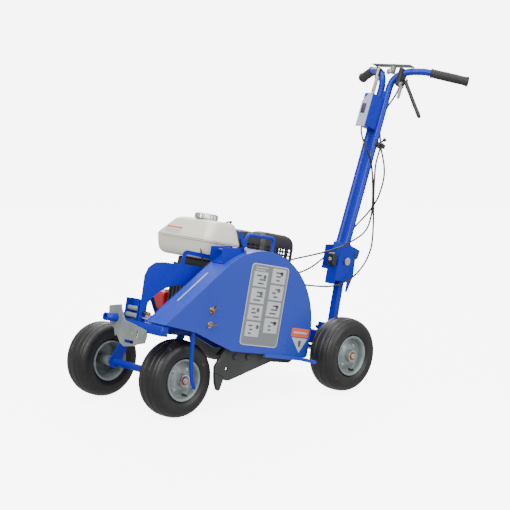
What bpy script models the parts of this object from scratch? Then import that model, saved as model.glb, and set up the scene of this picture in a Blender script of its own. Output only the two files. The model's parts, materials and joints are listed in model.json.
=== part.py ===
"""Walk-behind trencher: a narrow rotor housing beside a small petrol engine, four wheels, one folding T-handle.

Metres, +Z up, the machine faces -Y and its rotor side is +X. Two empties carry everything:
  machine  stands level on the floor, with x = 0 midway between the front wheels and y = 0 at the front axle
  chassis  sits on the rear axle and is pitched nose-up, so (x, u, w) below are across, rearwards, up from the deck
"""

import math

import bmesh
import bpy
from mathutils import Matrix, Vector

# wheels and stance
TYRE_RADIUS = 0.130
TYRE_WIDTH = 0.104
TYRE_STEPS = 36
AXLE_HEIGHT = TYRE_RADIUS * math.cos(math.pi / TYRE_STEPS)
FRONT_WHEEL_X = 0.190
REAR_WHEEL_LEFT_X = 0.344
REAR_WHEEL_RIGHT_X = -0.290
WHEELBASE = 0.645
PITCH = math.radians(13.5)
AXLE_RADIUS = 0.0095
HUB_BORE = 0.0102
RIM_RADIUS = 0.070
RIM_HALF_WIDTH = 0.046

# place of the machine in the world, so that the whole object is centred on x = y = 0
CENTRE_X = 0.07731
CENTRE_Y = 0.48815

# deck and beams, in chassis axes
DECK_FRONT = -0.770
DECK_REAR = -0.0203
DECK_LEFT = 0.100
DECK_RIGHT = -0.170
DECK_TOP = 0.020
DECK_DROP = 0.035
DECK_WIDE_FRONT = -0.600
TONGUE_X = (0.050, 0.0995)
SHEET = 0.005
RAIL_X = (0.150, 0.1895)
RAIL_BOTTOM = -0.010
BEAM_FRONT = -0.800
BEAM_RIGHT = 0.045
BEAM_BOTTOM = -0.012
WALL = 0.004
STUB_CENTRE = (0.058, 0.0155)
STUB_RADIUS = 0.0135
STUB_REACH = 0.052
GAP = 0.0003

REAR_BEAM_X = (-0.225, 0.275)
REAR_BEAM_U = (-0.020, 0.045)
REAR_BEAM_W = (0.0145, 0.062)

# feed roller in its bracket on the front beam
ROLLER_CENTRE = (-0.788, 0.034)
ROLLER_RADIUS = 0.0095

# front swing arm
ARM_PIVOT = (-0.560, 0.001)
ARM_X = (0.120, 0.126)
ARM_TUBE_RADIUS = 0.0125
ARM_TUBE_HALF = 0.135
PIVOT_SHAFT_RADIUS = 0.007

# rotor housing: a round cover running forward into a sloping nose
HOUSING_INNER = (0.192, 0.197)
HOUSING_OUTER = (0.280, 0.285)
HOUSING_CENTRE = (-0.381, 0.040)
HOUSING_RADIUS = 0.270
HOUSING_NOSE = (-0.793, 0.0255)
HOUSING_STEP = (-0.651, 0.012)
HOUSING_HEEL = (-0.483, -0.036)
HOUSING_REAR_BOTTOM = -0.033
COVER_THICKNESS = 0.003

# rotor, shoe and pointer
ROTOR_RADIUS = 0.150
ROTOR_X = (0.232, 0.240)
TOOTH_X = (0.225, 0.247)
TOOTH_COUNT = 8
SHAFT_RADIUS = 0.0125
SHOE_X = (0.252, 0.262)
POINTER_X = 0.272
POINTER_RADIUS = 0.0072

# belt drive
PULLEY_X = (0.108, 0.132)
BELT_X = (0.1135, 0.1265)
CRANK_CENTRE = (-0.335, 0.156)
DRIVE_RADIUS = 0.036
DRIVEN_RADIUS = 0.050
GROOVE_DEPTH = 0.008
IDLER_CENTRE = (-0.417, 0.1214)
IDLER_PIVOT = (-0.428, 0.060)
IDLER_RADIUS = 0.018
SIDE_GUARD_X = (0.160, 0.163)

# engine
TANK_X = (-0.160, 0.120)
TANK_U = (-0.522, -0.343)
TANK_W = (0.247, 0.385)
CAP_CENTRE = (0.002, -0.430)
CAP_RADIUS = 0.042
CAP_HEIGHT = 0.022
GUARD_X = (0.030, 0.120)
GUARD_U = (-0.256, -0.088)
GUARD_W = (0.285, 0.378)

# handle: it folds about a cross bolt, and its own axes are (x, v rearwards, t along the column)
HANDLE_X = 0.240
POST_X = 0.250
POST_U = 0.030
POST_HALF = 0.0125
SEAT_W = (0.286, 0.296)
HANDLE_PIVOT = (0.018, 0.323)
HANDLE_LEAN = math.radians(8.6)
TUBE_RADIUS = 0.0127
TUBE_SPACING = 0.018
BAR_ROUTE = [
    (0.0, 0.0, 0.030),
    (0.0, 0.0, 0.655),
    (0.006, 0.001, 0.680),
    (0.022, 0.007, 0.704),
    (0.047, 0.019, 0.721),
    (0.079, 0.036, 0.731),
    (0.120, 0.060, 0.736),
    (0.229, 0.138, 0.736),
]
GRIP_START = (0.120, 0.060, 0.736)
GRIP_END = (0.233, 0.141, 0.736)
GRIP_RADIUS = 0.0165
GRIP_FLARE = 0.0195
BOX_V = (-0.078, -0.0135)
BOX_T = (0.486, 0.606)
BOX_HALF_X = 0.020
CLUTCH_PIVOT = (0.311, 0.016, 0.690)
LEVER_RADIUS = 0.0068

# control cables, each route in world axes measured from the machine empty
CABLE_RADIUS = 0.0030
CABLE_POINTS = 60


def clear_scene():
    for old in list(bpy.data.objects):
        bpy.data.objects.remove(old, do_unlink=True)


def make_material(name, colour, roughness, metallic):
    material = bpy.data.materials.new(name)
    material.use_nodes = True
    shader = material.node_tree.nodes["Principled BSDF"]
    shader.inputs["Base Color"].default_value = (*colour, 1.0)
    shader.inputs["Roughness"].default_value = roughness
    shader.inputs["Metallic"].default_value = metallic
    return material


def make_materials():
    recipes = {
        "blue_paint": ((0.012, 0.045, 0.42), 0.35, 0.0),
        "tyre_rubber": ((0.02, 0.02, 0.02), 0.75, 0.0),
        "galvanised": ((0.40, 0.43, 0.44), 0.45, 0.9),
        "bright_steel": ((0.62, 0.62, 0.60), 0.3, 1.0),
        "dark_steel": ((0.09, 0.10, 0.10), 0.5, 0.8),
        "engine_metal": ((0.35, 0.35, 0.34), 0.5, 0.9),
        "tank_cream": ((0.78, 0.74, 0.62), 0.35, 0.0),
        "red_cover": ((0.55, 0.02, 0.02), 0.35, 0.0),
        "black_plastic": ((0.02, 0.02, 0.02), 0.5, 0.0),
        "grip_rubber": ((0.03, 0.03, 0.03), 0.7, 0.0),
        "cable_sheath": ((0.02, 0.02, 0.02), 0.55, 0.0),
        "belt_rubber": ((0.03, 0.03, 0.03), 0.8, 0.0),
    }
    return {name: make_material(name, *recipe) for name, recipe in recipes.items()}


def make_empty(name, parent=None, location=(0, 0, 0), rotation=(0, 0, 0)):
    empty = bpy.data.objects.new(name, None)
    bpy.context.scene.collection.objects.link(empty)
    empty.parent = parent
    empty.location = location
    empty.rotation_euler = rotation
    return empty


def add_object(name, bm, material, parent, location=(0, 0, 0), smooth=False):
    """Close a bmesh into an object whose local origin is at location under its parent."""
    bmesh.ops.recalc_face_normals(bm, faces=bm.faces)
    if bm.calc_volume(signed=True) < 0:
        bmesh.ops.reverse_faces(bm, faces=bm.faces)
    mesh = bpy.data.meshes.new(name)
    bm.to_mesh(mesh)
    bm.free()
    piece = bpy.data.objects.new(name, mesh)
    bpy.context.scene.collection.objects.link(piece)
    piece.parent = parent
    piece.location = location
    mesh.materials.append(material)
    if smooth:
        mesh.shade_smooth()
        mesh.set_sharp_from_angle(angle=math.radians(35))
    return piece


def cutter(bm, parent, location=(0, 0, 0)):
    """A hidden tool for a Boolean."""
    tool = add_object("tool", bm, bpy.data.materials["blue_paint"], parent, location)
    tool.hide_render = True
    tool.display_type = "WIRE"
    return tool


def apply_boolean(piece, tool, operation):
    modifier = piece.modifiers.new(operation.lower(), "BOOLEAN")
    modifier.operation = operation
    modifier.solver = "EXACT"
    modifier.object = tool


def box_mesh(low, high, bevel=0.0, segments=1, sharp_bottom=False):
    bm = bmesh.new()
    size = [high[i] - low[i] for i in range(3)]
    middle = [(high[i] + low[i]) / 2 for i in range(3)]
    matrix = Matrix.Translation(middle) @ Matrix.Diagonal((*size, 1.0))
    bmesh.ops.create_cube(bm, size=1.0, matrix=matrix)
    if bevel:
        edges = bm.edges[:]
        if sharp_bottom:
            edges = [edge for edge in edges if max(vert.co.z for vert in edge.verts) > middle[2]]
        bmesh.ops.bevel(bm, geom=edges, offset=bevel, segments=segments, profile=0.5, affect="EDGES")
    return bm


def plate_mesh(outline, near, far, axis=0):
    """An outline of (a, b) pairs extruded along one axis; for axis 0 the pairs are (u, w), for axis 1 (x, w)."""
    bm = bmesh.new()
    spots = []
    for a, b in outline:
        spot = [a, b]
        spot.insert(axis, near)
        spots.append(bm.verts.new(spot))
    face = bm.faces.new(spots)
    grown = bmesh.ops.extrude_face_region(bm, geom=[face])
    moved = [item for item in grown["geom"] if isinstance(item, bmesh.types.BMVert)]
    shift = [0.0, 0.0, 0.0]
    shift[axis] = far - near
    bmesh.ops.translate(bm, verts=moved, vec=shift)
    return bm


def turned_mesh(profile, steps):
    """A closed (x, radius) profile turned about the X axis, with a flat facet at the bottom."""
    bm = bmesh.new()
    start = math.pi / steps
    spots = [bm.verts.new((x, r * math.sin(start), r * math.cos(start))) for x, r in profile]
    edges = []
    for i in range(len(spots)):
        if profile[i - 1][1] > 0 or profile[i][1] > 0:
            edges.append(bm.edges.new((spots[i - 1], spots[i])))
    bmesh.ops.spin(
        bm, geom=spots + edges, cent=(0, 0, 0), axis=(1, 0, 0), angle=2 * math.pi, steps=steps, use_merge=True
    )
    bmesh.ops.remove_doubles(bm, verts=bm.verts[:], dist=1e-6)
    return bm


def rod_mesh(radius, x0, x1, steps=16):
    bm = bmesh.new()
    turn = Matrix.Rotation(math.pi / 2, 4, "Y")
    matrix = Matrix.Translation(((x0 + x1) / 2, 0, 0)) @ turn
    bmesh.ops.create_cone(
        bm, cap_ends=True, segments=steps, radius1=radius, radius2=radius, depth=x1 - x0, matrix=matrix
    )
    return bm


def smooth_route(points, count):
    """Points spread along a Catmull-Rom curve through the given ones."""
    knots = [Vector(p) for p in points]
    knots = [2 * knots[0] - knots[1]] + knots + [2 * knots[-1] - knots[-2]]
    spans = len(knots) - 3
    route = []
    for i in range(count):
        place = i / (count - 1) * spans
        k = min(int(place), spans - 1)
        t = place - k
        a, b, c, d = knots[k : k + 4]
        route.append(
            0.5 * (2 * b + (c - a) * t + (2 * a - 5 * b + 4 * c - d) * t * t + (3 * b - a - 3 * c + d) * t**3)
        )
    return route


def swept_mesh(route, radii, sides=12):
    """A round solid along a route, with one radius for each point."""
    bm = bmesh.new()
    rings = []
    normal = Vector((0, 1, 0))
    for i, point in enumerate(route):
        ahead = route[min(i + 1, len(route) - 1)] - route[max(i - 1, 0)]
        ahead.normalize()
        normal = (normal - normal.dot(ahead) * ahead).normalized()
        side = ahead.cross(normal)
        ring = []
        for k in range(sides):
            angle = 2 * math.pi * k / sides
            ring.append(bm.verts.new(point + radii[i] * (math.cos(angle) * normal + math.sin(angle) * side)))
        rings.append(ring)
    for a, b in zip(rings, rings[1:]):
        for k in range(sides):
            bm.faces.new((a[k - 1], a[k], b[k], b[k - 1]))
    bm.faces.new(rings[0])
    bm.faces.new(rings[-1])
    return bm


def arc(centre, radius, start, end, count):
    """Points on a circle from one angle to another, in degrees."""
    points = []
    for i in range(count):
        angle = math.radians(start + (end - start) * i / (count - 1))
        points.append((centre[0] + radius * math.cos(angle), centre[1] + radius * math.sin(angle)))
    return points


def bar_outline(start, end, radius_start, radius_end, count=7):
    """A flat bar with two round ends of different size."""
    along = math.degrees(math.atan2(end[1] - start[1], end[0] - start[0]))
    return arc(start, radius_start, along + 90, along + 270, count) + arc(
        end, radius_end, along - 90, along + 90, count
    )


def to_machine(x, u, w):
    """A chassis place as machine coordinates."""
    y = WHEELBASE + u * math.cos(PITCH) + w * math.sin(PITCH)
    z = AXLE_HEIGHT - u * math.sin(PITCH) + w * math.cos(PITCH)
    return (x, y, z)


# ---------------------------------------------------------------- wheels

def tyre_mesh():
    half = TYRE_WIDTH / 2
    side = [(0.0395, 0.0625), (0.0395, 0.0715), (half, 0.094), (0.046, 0.118)]
    profile = side + [(0.020, TYRE_RADIUS), (-0.020, TYRE_RADIUS)] + [(-x, r) for x, r in reversed(side)]
    return turned_mesh(profile, TYRE_STEPS)


def rim_mesh(outward):
    """A flanged rim with a dished disc and a hub; outward is +1 or -1 for the side its open dish faces."""
    edge = RIM_HALF_WIDTH
    lip = 0.040
    profile = [
        (-0.045, HUB_BORE), (-0.045, 0.020), (0.012, 0.020), (0.012, 0.058), (-edge, 0.058), (-edge, RIM_RADIUS),
        (-lip, RIM_RADIUS), (-lip, 0.062), (lip, 0.062), (lip, RIM_RADIUS), (edge, RIM_RADIUS), (edge, 0.058),
        (0.018, 0.058), (0.018, 0.020), (0.049, 0.020), (0.049, HUB_BORE),
    ]
    return turned_mesh([(outward * x, r) for x, r in profile], 18)


def build_wheels(machine, materials):
    places = {
        "front_left": (FRONT_WHEEL_X, 0.0, 1),
        "front_right": (-FRONT_WHEEL_X, 0.0, -1),
        "rear_left": (REAR_WHEEL_LEFT_X, WHEELBASE, 1),
        "rear_right": (REAR_WHEEL_RIGHT_X, WHEELBASE, -1),
    }
    for name, (x, y, outward) in places.items():
        spot = (x, y, AXLE_HEIGHT)
        add_object(name + "_tyre", tyre_mesh(), materials["tyre_rubber"], machine, spot, smooth=True)
        add_object(name + "_rim", rim_mesh(outward), materials["galvanised"], machine, spot, smooth=True)


def build_front_arm(machine, materials):
    """Trailing plates and a tube that carry the front axle and swing about a cross shaft under the deck."""
    pivot = Vector(to_machine(0, *ARM_PIVOT))
    swing = make_empty("front_swing", machine, pivot)
    axle = Vector((0, 0, AXLE_HEIGHT)) - pivot
    tube = rod_mesh(ARM_TUBE_RADIUS, -ARM_TUBE_HALF, ARM_TUBE_HALF)
    arm = add_object("front_arm", tube, materials["blue_paint"], swing)
    arm.data.transform(Matrix.Translation(axle))
    shape = bar_outline((axle.y, axle.z), (0, 0), 0.0225, 0.0135)
    for near, far in ((ARM_X[0], ARM_X[1]), (-ARM_X[1], -ARM_X[0])):
        apply_boolean(arm, cutter(plate_mesh(shape, near, far), machine, pivot), "UNION")
    bore = cutter(rod_mesh(AXLE_RADIUS + GAP, -0.2, 0.2), machine, (0, 0, AXLE_HEIGHT))
    apply_boolean(arm, bore, "DIFFERENCE")
    pivot_shaft = cutter(rod_mesh(PIVOT_SHAFT_RADIUS, DECK_RIGHT - 0.006, RAIL_X[1]), machine, pivot)
    apply_boolean(arm, pivot_shaft, "UNION")
    reach = FRONT_WHEEL_X + 0.056
    add_object("front_axle", rod_mesh(AXLE_RADIUS, -reach, reach), materials["bright_steel"], swing, axle)


# ---------------------------------------------------------------- frame

def build_frame(chassis, materials):
    blue = materials["blue_paint"]
    bottom = DECK_TOP - DECK_DROP
    channel = [
        (DECK_RIGHT, bottom), (DECK_RIGHT, DECK_TOP), (DECK_LEFT, DECK_TOP), (DECK_LEFT, bottom),
        (DECK_LEFT - SHEET, bottom), (DECK_LEFT - SHEET, DECK_TOP - SHEET), (DECK_RIGHT + SHEET, DECK_TOP - SHEET),
        (DECK_RIGHT + SHEET, bottom),
    ]
    deck = add_object("deck_frame", plate_mesh(channel, DECK_WIDE_FRONT, DECK_REAR, axis=1), blue, chassis)
    tongue = box_mesh(
        (TONGUE_X[0], DECK_FRONT + GAP, DECK_TOP - 0.0295), (TONGUE_X[1], DECK_WIDE_FRONT + 0.01, DECK_TOP - 0.0005)
    )
    apply_boolean(deck, cutter(tongue, chassis), "UNION")
    beam = add_object(
        "front_crossmember",
        box_mesh((BEAM_RIGHT, BEAM_FRONT, BEAM_BOTTOM), (HOUSING_OUTER[0] - GAP, DECK_FRONT, DECK_TOP)),
        blue,
        chassis,
    )
    rail = box_mesh((RAIL_X[0], DECK_FRONT - 0.01, RAIL_BOTTOM), (RAIL_X[1], DECK_REAR, DECK_TOP - 0.0005))
    apply_boolean(beam, cutter(rail, chassis), "UNION")
    beam_hollow = box_mesh(
        (BEAM_RIGHT - 0.01, BEAM_FRONT + WALL, BEAM_BOTTOM + WALL),
        (HOUSING_OUTER[0] - WALL, DECK_FRONT - WALL, DECK_TOP - WALL),
    )
    apply_boolean(beam, cutter(beam_hollow, chassis), "DIFFERENCE")
    rail_hollow = box_mesh(
        (RAIL_X[0] + WALL, DECK_FRONT + WALL, RAIL_BOTTOM + WALL),
        (RAIL_X[1] - WALL, DECK_REAR + 0.01, DECK_TOP - WALL - 0.0005),
    )
    apply_boolean(beam, cutter(rail_hollow, chassis), "DIFFERENCE")
    stub = rod_mesh(STUB_RADIUS, -STUB_REACH, 0.003, 20)
    stub.transform(Matrix.Rotation(math.pi / 2, 4, "Z"))
    apply_boolean(beam, cutter(stub, chassis, (STUB_CENTRE[0], BEAM_FRONT, STUB_CENTRE[1])), "UNION")
    shaft_hole = cutter(rod_mesh(PIVOT_SHAFT_RADIUS + GAP, -0.25, 0.25), chassis, (0, *ARM_PIVOT))
    apply_boolean(deck, shaft_hole, "DIFFERENCE")
    apply_boolean(beam, shaft_hole, "DIFFERENCE")

    rear = add_object(
        "rear_crossmember",
        box_mesh((REAR_BEAM_X[0], REAR_BEAM_U[0], REAR_BEAM_W[0]), (REAR_BEAM_X[1], REAR_BEAM_U[1], REAR_BEAM_W[1])),
        blue,
        chassis,
    )
    rear_hollow = box_mesh(
        (REAR_BEAM_X[0] - 0.01, REAR_BEAM_U[0] + WALL, REAR_BEAM_W[0] + WALL),
        (REAR_BEAM_X[1] + 0.01, REAR_BEAM_U[1] - WALL, REAR_BEAM_W[1] - WALL),
    )
    apply_boolean(rear, cutter(rear_hollow, chassis), "DIFFERENCE")
    for near in (REAR_BEAM_X[0], 0.015, REAR_BEAM_X[1] - 0.020):
        block = box_mesh((near, -0.017, -0.017), (near + 0.020, 0.017, REAR_BEAM_W[0] + 0.001))
        apply_boolean(rear, cutter(block, chassis), "UNION")
    axle_hole = cutter(rod_mesh(AXLE_RADIUS + GAP, -0.4, 0.45), chassis)
    apply_boolean(rear, axle_hole, "DIFFERENCE")
    add_object(
        "rear_axle",
        rod_mesh(AXLE_RADIUS, REAR_WHEEL_RIGHT_X - 0.056, REAR_WHEEL_LEFT_X + 0.056),
        materials["bright_steel"],
        chassis,
    )


# ---------------------------------------------------------------- rotor housing

def housing_top(shrink=0.0):
    """The housing's upper edge from its nose over the round cover to the rear, moved inwards by shrink."""
    centre = HOUSING_CENTRE
    radius = HOUSING_RADIUS
    away = (HOUSING_NOSE[0] - centre[0], HOUSING_NOSE[1] - centre[1])
    reach = math.hypot(*away)
    tangent = math.degrees(math.atan2(away[1], away[0]) % (2 * math.pi) - math.acos(radius / reach))
    slope = math.radians(tangent)
    nose = (HOUSING_NOSE[0] - shrink * math.cos(slope), HOUSING_NOSE[1] - shrink * math.sin(slope))
    return [nose] + arc(centre, radius - shrink, tangent, 0, 26)


def housing_side(nose_bottom):
    rear = HOUSING_CENTRE[0] + HOUSING_RADIUS
    top = housing_top()
    top[0] = (top[0][0], max(top[0][1], nose_bottom))
    return top + [(rear, HOUSING_REAR_BOTTOM), HOUSING_HEEL, (HOUSING_STEP[0], max(HOUSING_STEP[1], nose_bottom))]


def build_housing(chassis, materials):
    blue = materials["blue_paint"]
    outer = add_object("housing_outer_plate", plate_mesh(housing_side(0.012), *HOUSING_OUTER), blue, chassis)
    rear = HOUSING_CENTRE[0] + HOUSING_RADIUS
    rail = [(0.2845, -0.33), (0.297, -0.33), (0.297, -0.157), (0.362, -0.157), (0.362, -0.142), (0.2845, -0.142)]
    bm = bmesh.new()
    face = bm.faces.new([bm.verts.new((x, u, -0.044)) for x, u in rail])
    grown = bmesh.ops.extrude_face_region(bm, geom=[face])
    moved = [item for item in grown["geom"] if isinstance(item, bmesh.types.BMVert)]
    bmesh.ops.translate(bm, verts=moved, vec=(0, 0, 0.012))
    apply_boolean(outer, cutter(bm, chassis), "UNION")

    inner = add_object(
        "housing_inner_plate", plate_mesh(housing_side(DECK_TOP + GAP), *HOUSING_INNER), blue, chassis
    )
    shaft_hole = cutter(rod_mesh(SHAFT_RADIUS + 0.0015, 0.18, 0.205, 24), chassis, (0, *HOUSING_CENTRE))
    apply_boolean(inner, shaft_hole, "DIFFERENCE")

    outside = housing_top() + [(rear, HOUSING_REAR_BOTTOM)]
    inside = housing_top(COVER_THICKNESS) + [(rear - COVER_THICKNESS, HOUSING_REAR_BOTTOM)]
    add_object(
        "housing_cover",
        plate_mesh(outside + inside[::-1], HOUSING_INNER[1] + GAP, HOUSING_OUTER[0] - GAP),
        blue,
        chassis,
    )

    handle_route = [
        (0, -0.462, 0.3025), (0, -0.462, 0.338), (0, -0.458, 0.349), (0, -0.447, 0.354), (0, -0.348, 0.357),
        (0, -0.336, 0.353), (0, -0.331, 0.342), (0, -0.330, 0.3065),
    ]
    route = [Vector(p) for p in handle_route]
    add_object("housing_handle", swept_mesh(route, [0.006] * len(route), 8), blue, chassis, (0.245, 0, 0))

    build_feed_guide(chassis, materials)


def build_feed_guide(chassis, materials):
    """An open cable guide on top of the housing, and the flat lever beside it."""
    blue = materials["blue_paint"]
    above = HOUSING_RADIUS + 0.0006
    foot = arc(HOUSING_CENTRE, above, 110.5, 131, 6)
    shape = foot + [(-0.572, 0.262), (-0.574, 0.297), (-0.478, 0.308)]
    guide = add_object("top_feed_guide", plate_mesh(shape, 0.200, 0.258), blue, chassis)
    floor = arc(HOUSING_CENTRE, above + 0.003, 109, 134, 6)
    hollow = floor + [(-0.60, 0.27), (-0.60, 0.33), (-0.482, 0.33)]
    apply_boolean(guide, cutter(plate_mesh(hollow, 0.203, 0.255), chassis), "DIFFERENCE")

    lever = bar_outline((0, 0), (-0.036, 0.050), 0.0065, 0.0065)
    add_object("release_lever", plate_mesh(lever, 0.2615, 0.2665), blue, chassis, (0, -0.478, 0.3045))


def shoe_shape():
    return [
        (-0.490, -0.032), (-0.523, -0.095), (-0.520, -0.113), (-0.4735, -0.1275), (-0.466, -0.137),
        (-0.448, -0.137), (-0.264, -0.061), (-0.172, -0.059), (-0.157, -0.048), (-0.150, 0.010), (-0.470, 0.010),
    ]


def build_rotor(chassis, materials):
    centre = (0, *HOUSING_CENTRE)
    add_object("rotor_shaft", rod_mesh(SHAFT_RADIUS, 0.104, 0.272, 20), materials["bright_steel"], chassis, centre)
    hub = 0.028
    disc = [
        (TOOTH_X[0], SHAFT_RADIUS + GAP), (TOOTH_X[0], hub), (ROTOR_X[0], hub),
        (ROTOR_X[0], 0.120), (ROTOR_X[1], 0.120), (ROTOR_X[1], hub), (TOOTH_X[1], hub),
        (TOOTH_X[1], SHAFT_RADIUS + GAP),
    ]
    rotor = add_object("cutter_rotor", turned_mesh(disc, 32), materials["dark_steel"], chassis, centre)
    for i in range(TOOTH_COUNT):
        tooth = box_mesh((TOOTH_X[0], -0.013, 0.106), (TOOTH_X[1], 0.013, ROTOR_RADIUS))
        tooth.transform(Matrix.Rotation(2 * math.pi * i / TOOTH_COUNT, 4, "X"))
        apply_boolean(rotor, cutter(tooth, chassis, centre), "UNION")
    for name, near, far in (("bearing_inner", 0.1975, 0.2135), ("bearing_outer", 0.2635, 0.2795)):
        bore = SHAFT_RADIUS + GAP
        ring = [(near, bore), (near, 0.030), (far, 0.030), (far, bore)]
        add_object(name, turned_mesh(ring, 20), materials["engine_metal"], chassis, centre)

    shoe = add_object("trench_shoe", plate_mesh(shoe_shape(), *SHOE_X), materials["dark_steel"], chassis)
    hole = cutter(rod_mesh(0.006, 0.24, 0.27), chassis, (0, -0.467, -0.098))
    apply_boolean(shoe, hole, "DIFFERENCE")
    tip = [
        (-0.5197, -0.1137), (-0.510, -0.148), (-0.497, -0.171), (-0.490, -0.174), (-0.484, -0.170),
        (-0.4733, -0.1285),
    ]
    add_object("shoe_point", plate_mesh(tip, SHOE_X[0] - 0.001, SHOE_X[1] + 0.001), materials["dark_steel"], chassis)

    down = [Vector(p) for p in ((0, 0, 0.018), (0, 0.004, -0.03), (0, 0.018, -0.12), (0, 0.032, -0.165), (0, 0.054, -0.197))]
    pointer_route = smooth_route(down, 10)
    add_object(
        "guide_pointer",
        swept_mesh(pointer_route, [POINTER_RADIUS] * len(pointer_route), 8),
        materials["blue_paint"],
        chassis,
        (POINTER_X, -0.657, 0.020),
    )


# ---------------------------------------------------------------- belt drive

def pulley_mesh(radius, bore, near, far, steps=24):
    groove = radius - GROOVE_DEPTH
    profile = [
        (near, bore), (near, radius), (near + 0.004, radius), (near + 0.0052, groove), (far - 0.0052, groove),
        (far - 0.004, radius), (far, radius), (far, bore),
    ]
    return turned_mesh(profile, steps)


def belt_loop(extra):
    """The loop round both pulleys at a height extra above the groove floors."""
    (u1, w1), (u2, w2) = CRANK_CENTRE, HOUSING_CENTRE
    r1 = DRIVE_RADIUS - GROOVE_DEPTH + extra
    r2 = DRIVEN_RADIUS - GROOVE_DEPTH + extra
    along = math.atan2(w2 - w1, u2 - u1)
    lean = math.acos((r1 - r2) / math.hypot(u2 - u1, w2 - w1))
    a, b = math.degrees(along), math.degrees(lean)
    return arc(CRANK_CENTRE, r1, a + b, a + 360 - b, 16) + arc(HOUSING_CENTRE, r2, a - b, a + b, 18)


def build_belt_drive(chassis, materials):
    steel = materials["bright_steel"]
    add_object(
        "drive_pulley", pulley_mesh(DRIVE_RADIUS, 0.0113, *PULLEY_X), materials["engine_metal"], chassis,
        (0, *CRANK_CENTRE),
    )
    add_object(
        "driven_pulley", pulley_mesh(DRIVEN_RADIUS, SHAFT_RADIUS + GAP, *PULLEY_X), materials["engine_metal"], chassis,
        (0, *HOUSING_CENTRE),
    )
    belt = add_object("drive_belt", plate_mesh(belt_loop(0.0072), *BELT_X), materials["belt_rubber"], chassis)
    hole = cutter(plate_mesh(belt_loop(0.0006), BELT_X[0] - 0.01, BELT_X[1] + 0.01), chassis)
    apply_boolean(belt, hole, "DIFFERENCE")

    reach = (IDLER_CENTRE[0] - IDLER_PIVOT[0], IDLER_CENTRE[1] - IDLER_PIVOT[1])
    arm_shape = bar_outline((0, 0), reach, 0.011, 0.008)
    arm = add_object("idler_arm", plate_mesh(arm_shape, 0.1335, 0.1375), steel, chassis, (0, *IDLER_PIVOT))
    apply_boolean(arm, cutter(rod_mesh(0.004, 0.110, 0.135), chassis, (0, *IDLER_CENTRE)), "UNION")
    apply_boolean(arm, cutter(rod_mesh(0.0055, 0.135, 0.1597), chassis, (0, *IDLER_PIVOT)), "UNION")
    wheel = [(0.1125, 0.0044), (0.1125, IDLER_RADIUS), (0.1275, IDLER_RADIUS), (0.1275, 0.0044)]
    add_object("idler_pulley", turned_mesh(wheel, 20), materials["engine_metal"], chassis, (0, *IDLER_CENTRE))

    base = DECK_TOP + GAP
    arch = arc((0, 0), 1.0, 0, 153.6, 12)
    opening = [(-0.618 + 0.173 * a, base + 0.135 * b) for a, b in arch]
    outline = [
        (-0.799, base), (-0.805, 0.168), (-0.794, 0.196), (-0.768, 0.215), (-0.726, 0.220), (-0.660, 0.220),
        (-0.6555, 0.258), (-0.651, 0.266), (-0.642, 0.270), (-0.512, 0.266), (-0.504, 0.262), (-0.500, 0.254),
        (-0.498, 0.219), (-0.405, 0.217), (-0.405, base),
    ]
    guard = add_object(
        "engine_side_guard",
        plate_mesh(outline + opening + [(-0.773, base)], *SIDE_GUARD_X),
        materials["blue_paint"],
        chassis,
    )
    finger_gap = [(-0.644, 0.222), (-0.640, 0.254), (-0.634, 0.256), (-0.519, 0.252), (-0.514, 0.248), (-0.512, 0.222)]
    apply_boolean(guard, cutter(plate_mesh(finger_gap, 0.15, 0.17), chassis), "DIFFERENCE")


# ---------------------------------------------------------------- front fittings

def build_front_fittings(chassis, materials):
    face = BEAM_FRONT - GAP
    outline = [
        (0.014, 0.050), (0.072, 0.062), (0.076, 0.049), (0.103, 0.014), (0.141, 0.009), (0.214, -0.003),
        (0.220, -0.020), (0.215, -0.045), (0.178, -0.055), (0.169, -0.061), (0.117, -0.070), (0.097, -0.061),
        (0.075, -0.036), (0.067, -0.043), (0.057, -0.020), (0.047, -0.016), (0.023, 0.003),
    ]
    bracket = add_object("front_bracket", plate_mesh(outline, face - 0.006, face, axis=1), materials["galvanised"], chassis)
    slots = [((0.171, -0.034), (0.177, -0.008)), ((0.117, -0.056), (0.162, -0.046))]
    for low, high in slots:
        tool = box_mesh((low[0], face - 0.02, low[1]), (high[0], face + 0.02, high[1]))
        apply_boolean(bracket, cutter(tool, chassis), "DIFFERENCE")
    pass_through = rod_mesh(STUB_RADIUS + GAP, -0.03, 0.03, 20)
    pass_through.transform(Matrix.Rotation(math.pi / 2, 4, "Z"))
    stub_place = (STUB_CENTRE[0], BEAM_FRONT, STUB_CENTRE[1])
    apply_boolean(bracket, cutter(pass_through, chassis, stub_place), "DIFFERENCE")

    left, right, front, back = 0.151, 0.086, -0.7995, -0.7665
    wall = 0.003
    bm = bmesh.new()
    channel = [
        (right, front), (right + wall, front), (right + wall, back - wall), (left - wall, back - wall),
        (left - wall, front), (left, front), (left, back), (right, back),
    ]
    floor = bm.faces.new([bm.verts.new((x, u, DECK_TOP + GAP)) for x, u in channel])
    grown = bmesh.ops.extrude_face_region(bm, geom=[floor])
    moved = [item for item in grown["geom"] if isinstance(item, bmesh.types.BMVert)]
    bmesh.ops.translate(bm, verts=moved, vec=(0, 0, 0.068))
    add_object("feed_bracket", bm, materials["blue_paint"], chassis)
    add_object(
        "feed_roller", rod_mesh(ROLLER_RADIUS, right + wall + GAP, left - wall - GAP, 16), materials["galvanised"], chassis,
        (0, *ROLLER_CENTRE),
    )


# ---------------------------------------------------------------- engine

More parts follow.
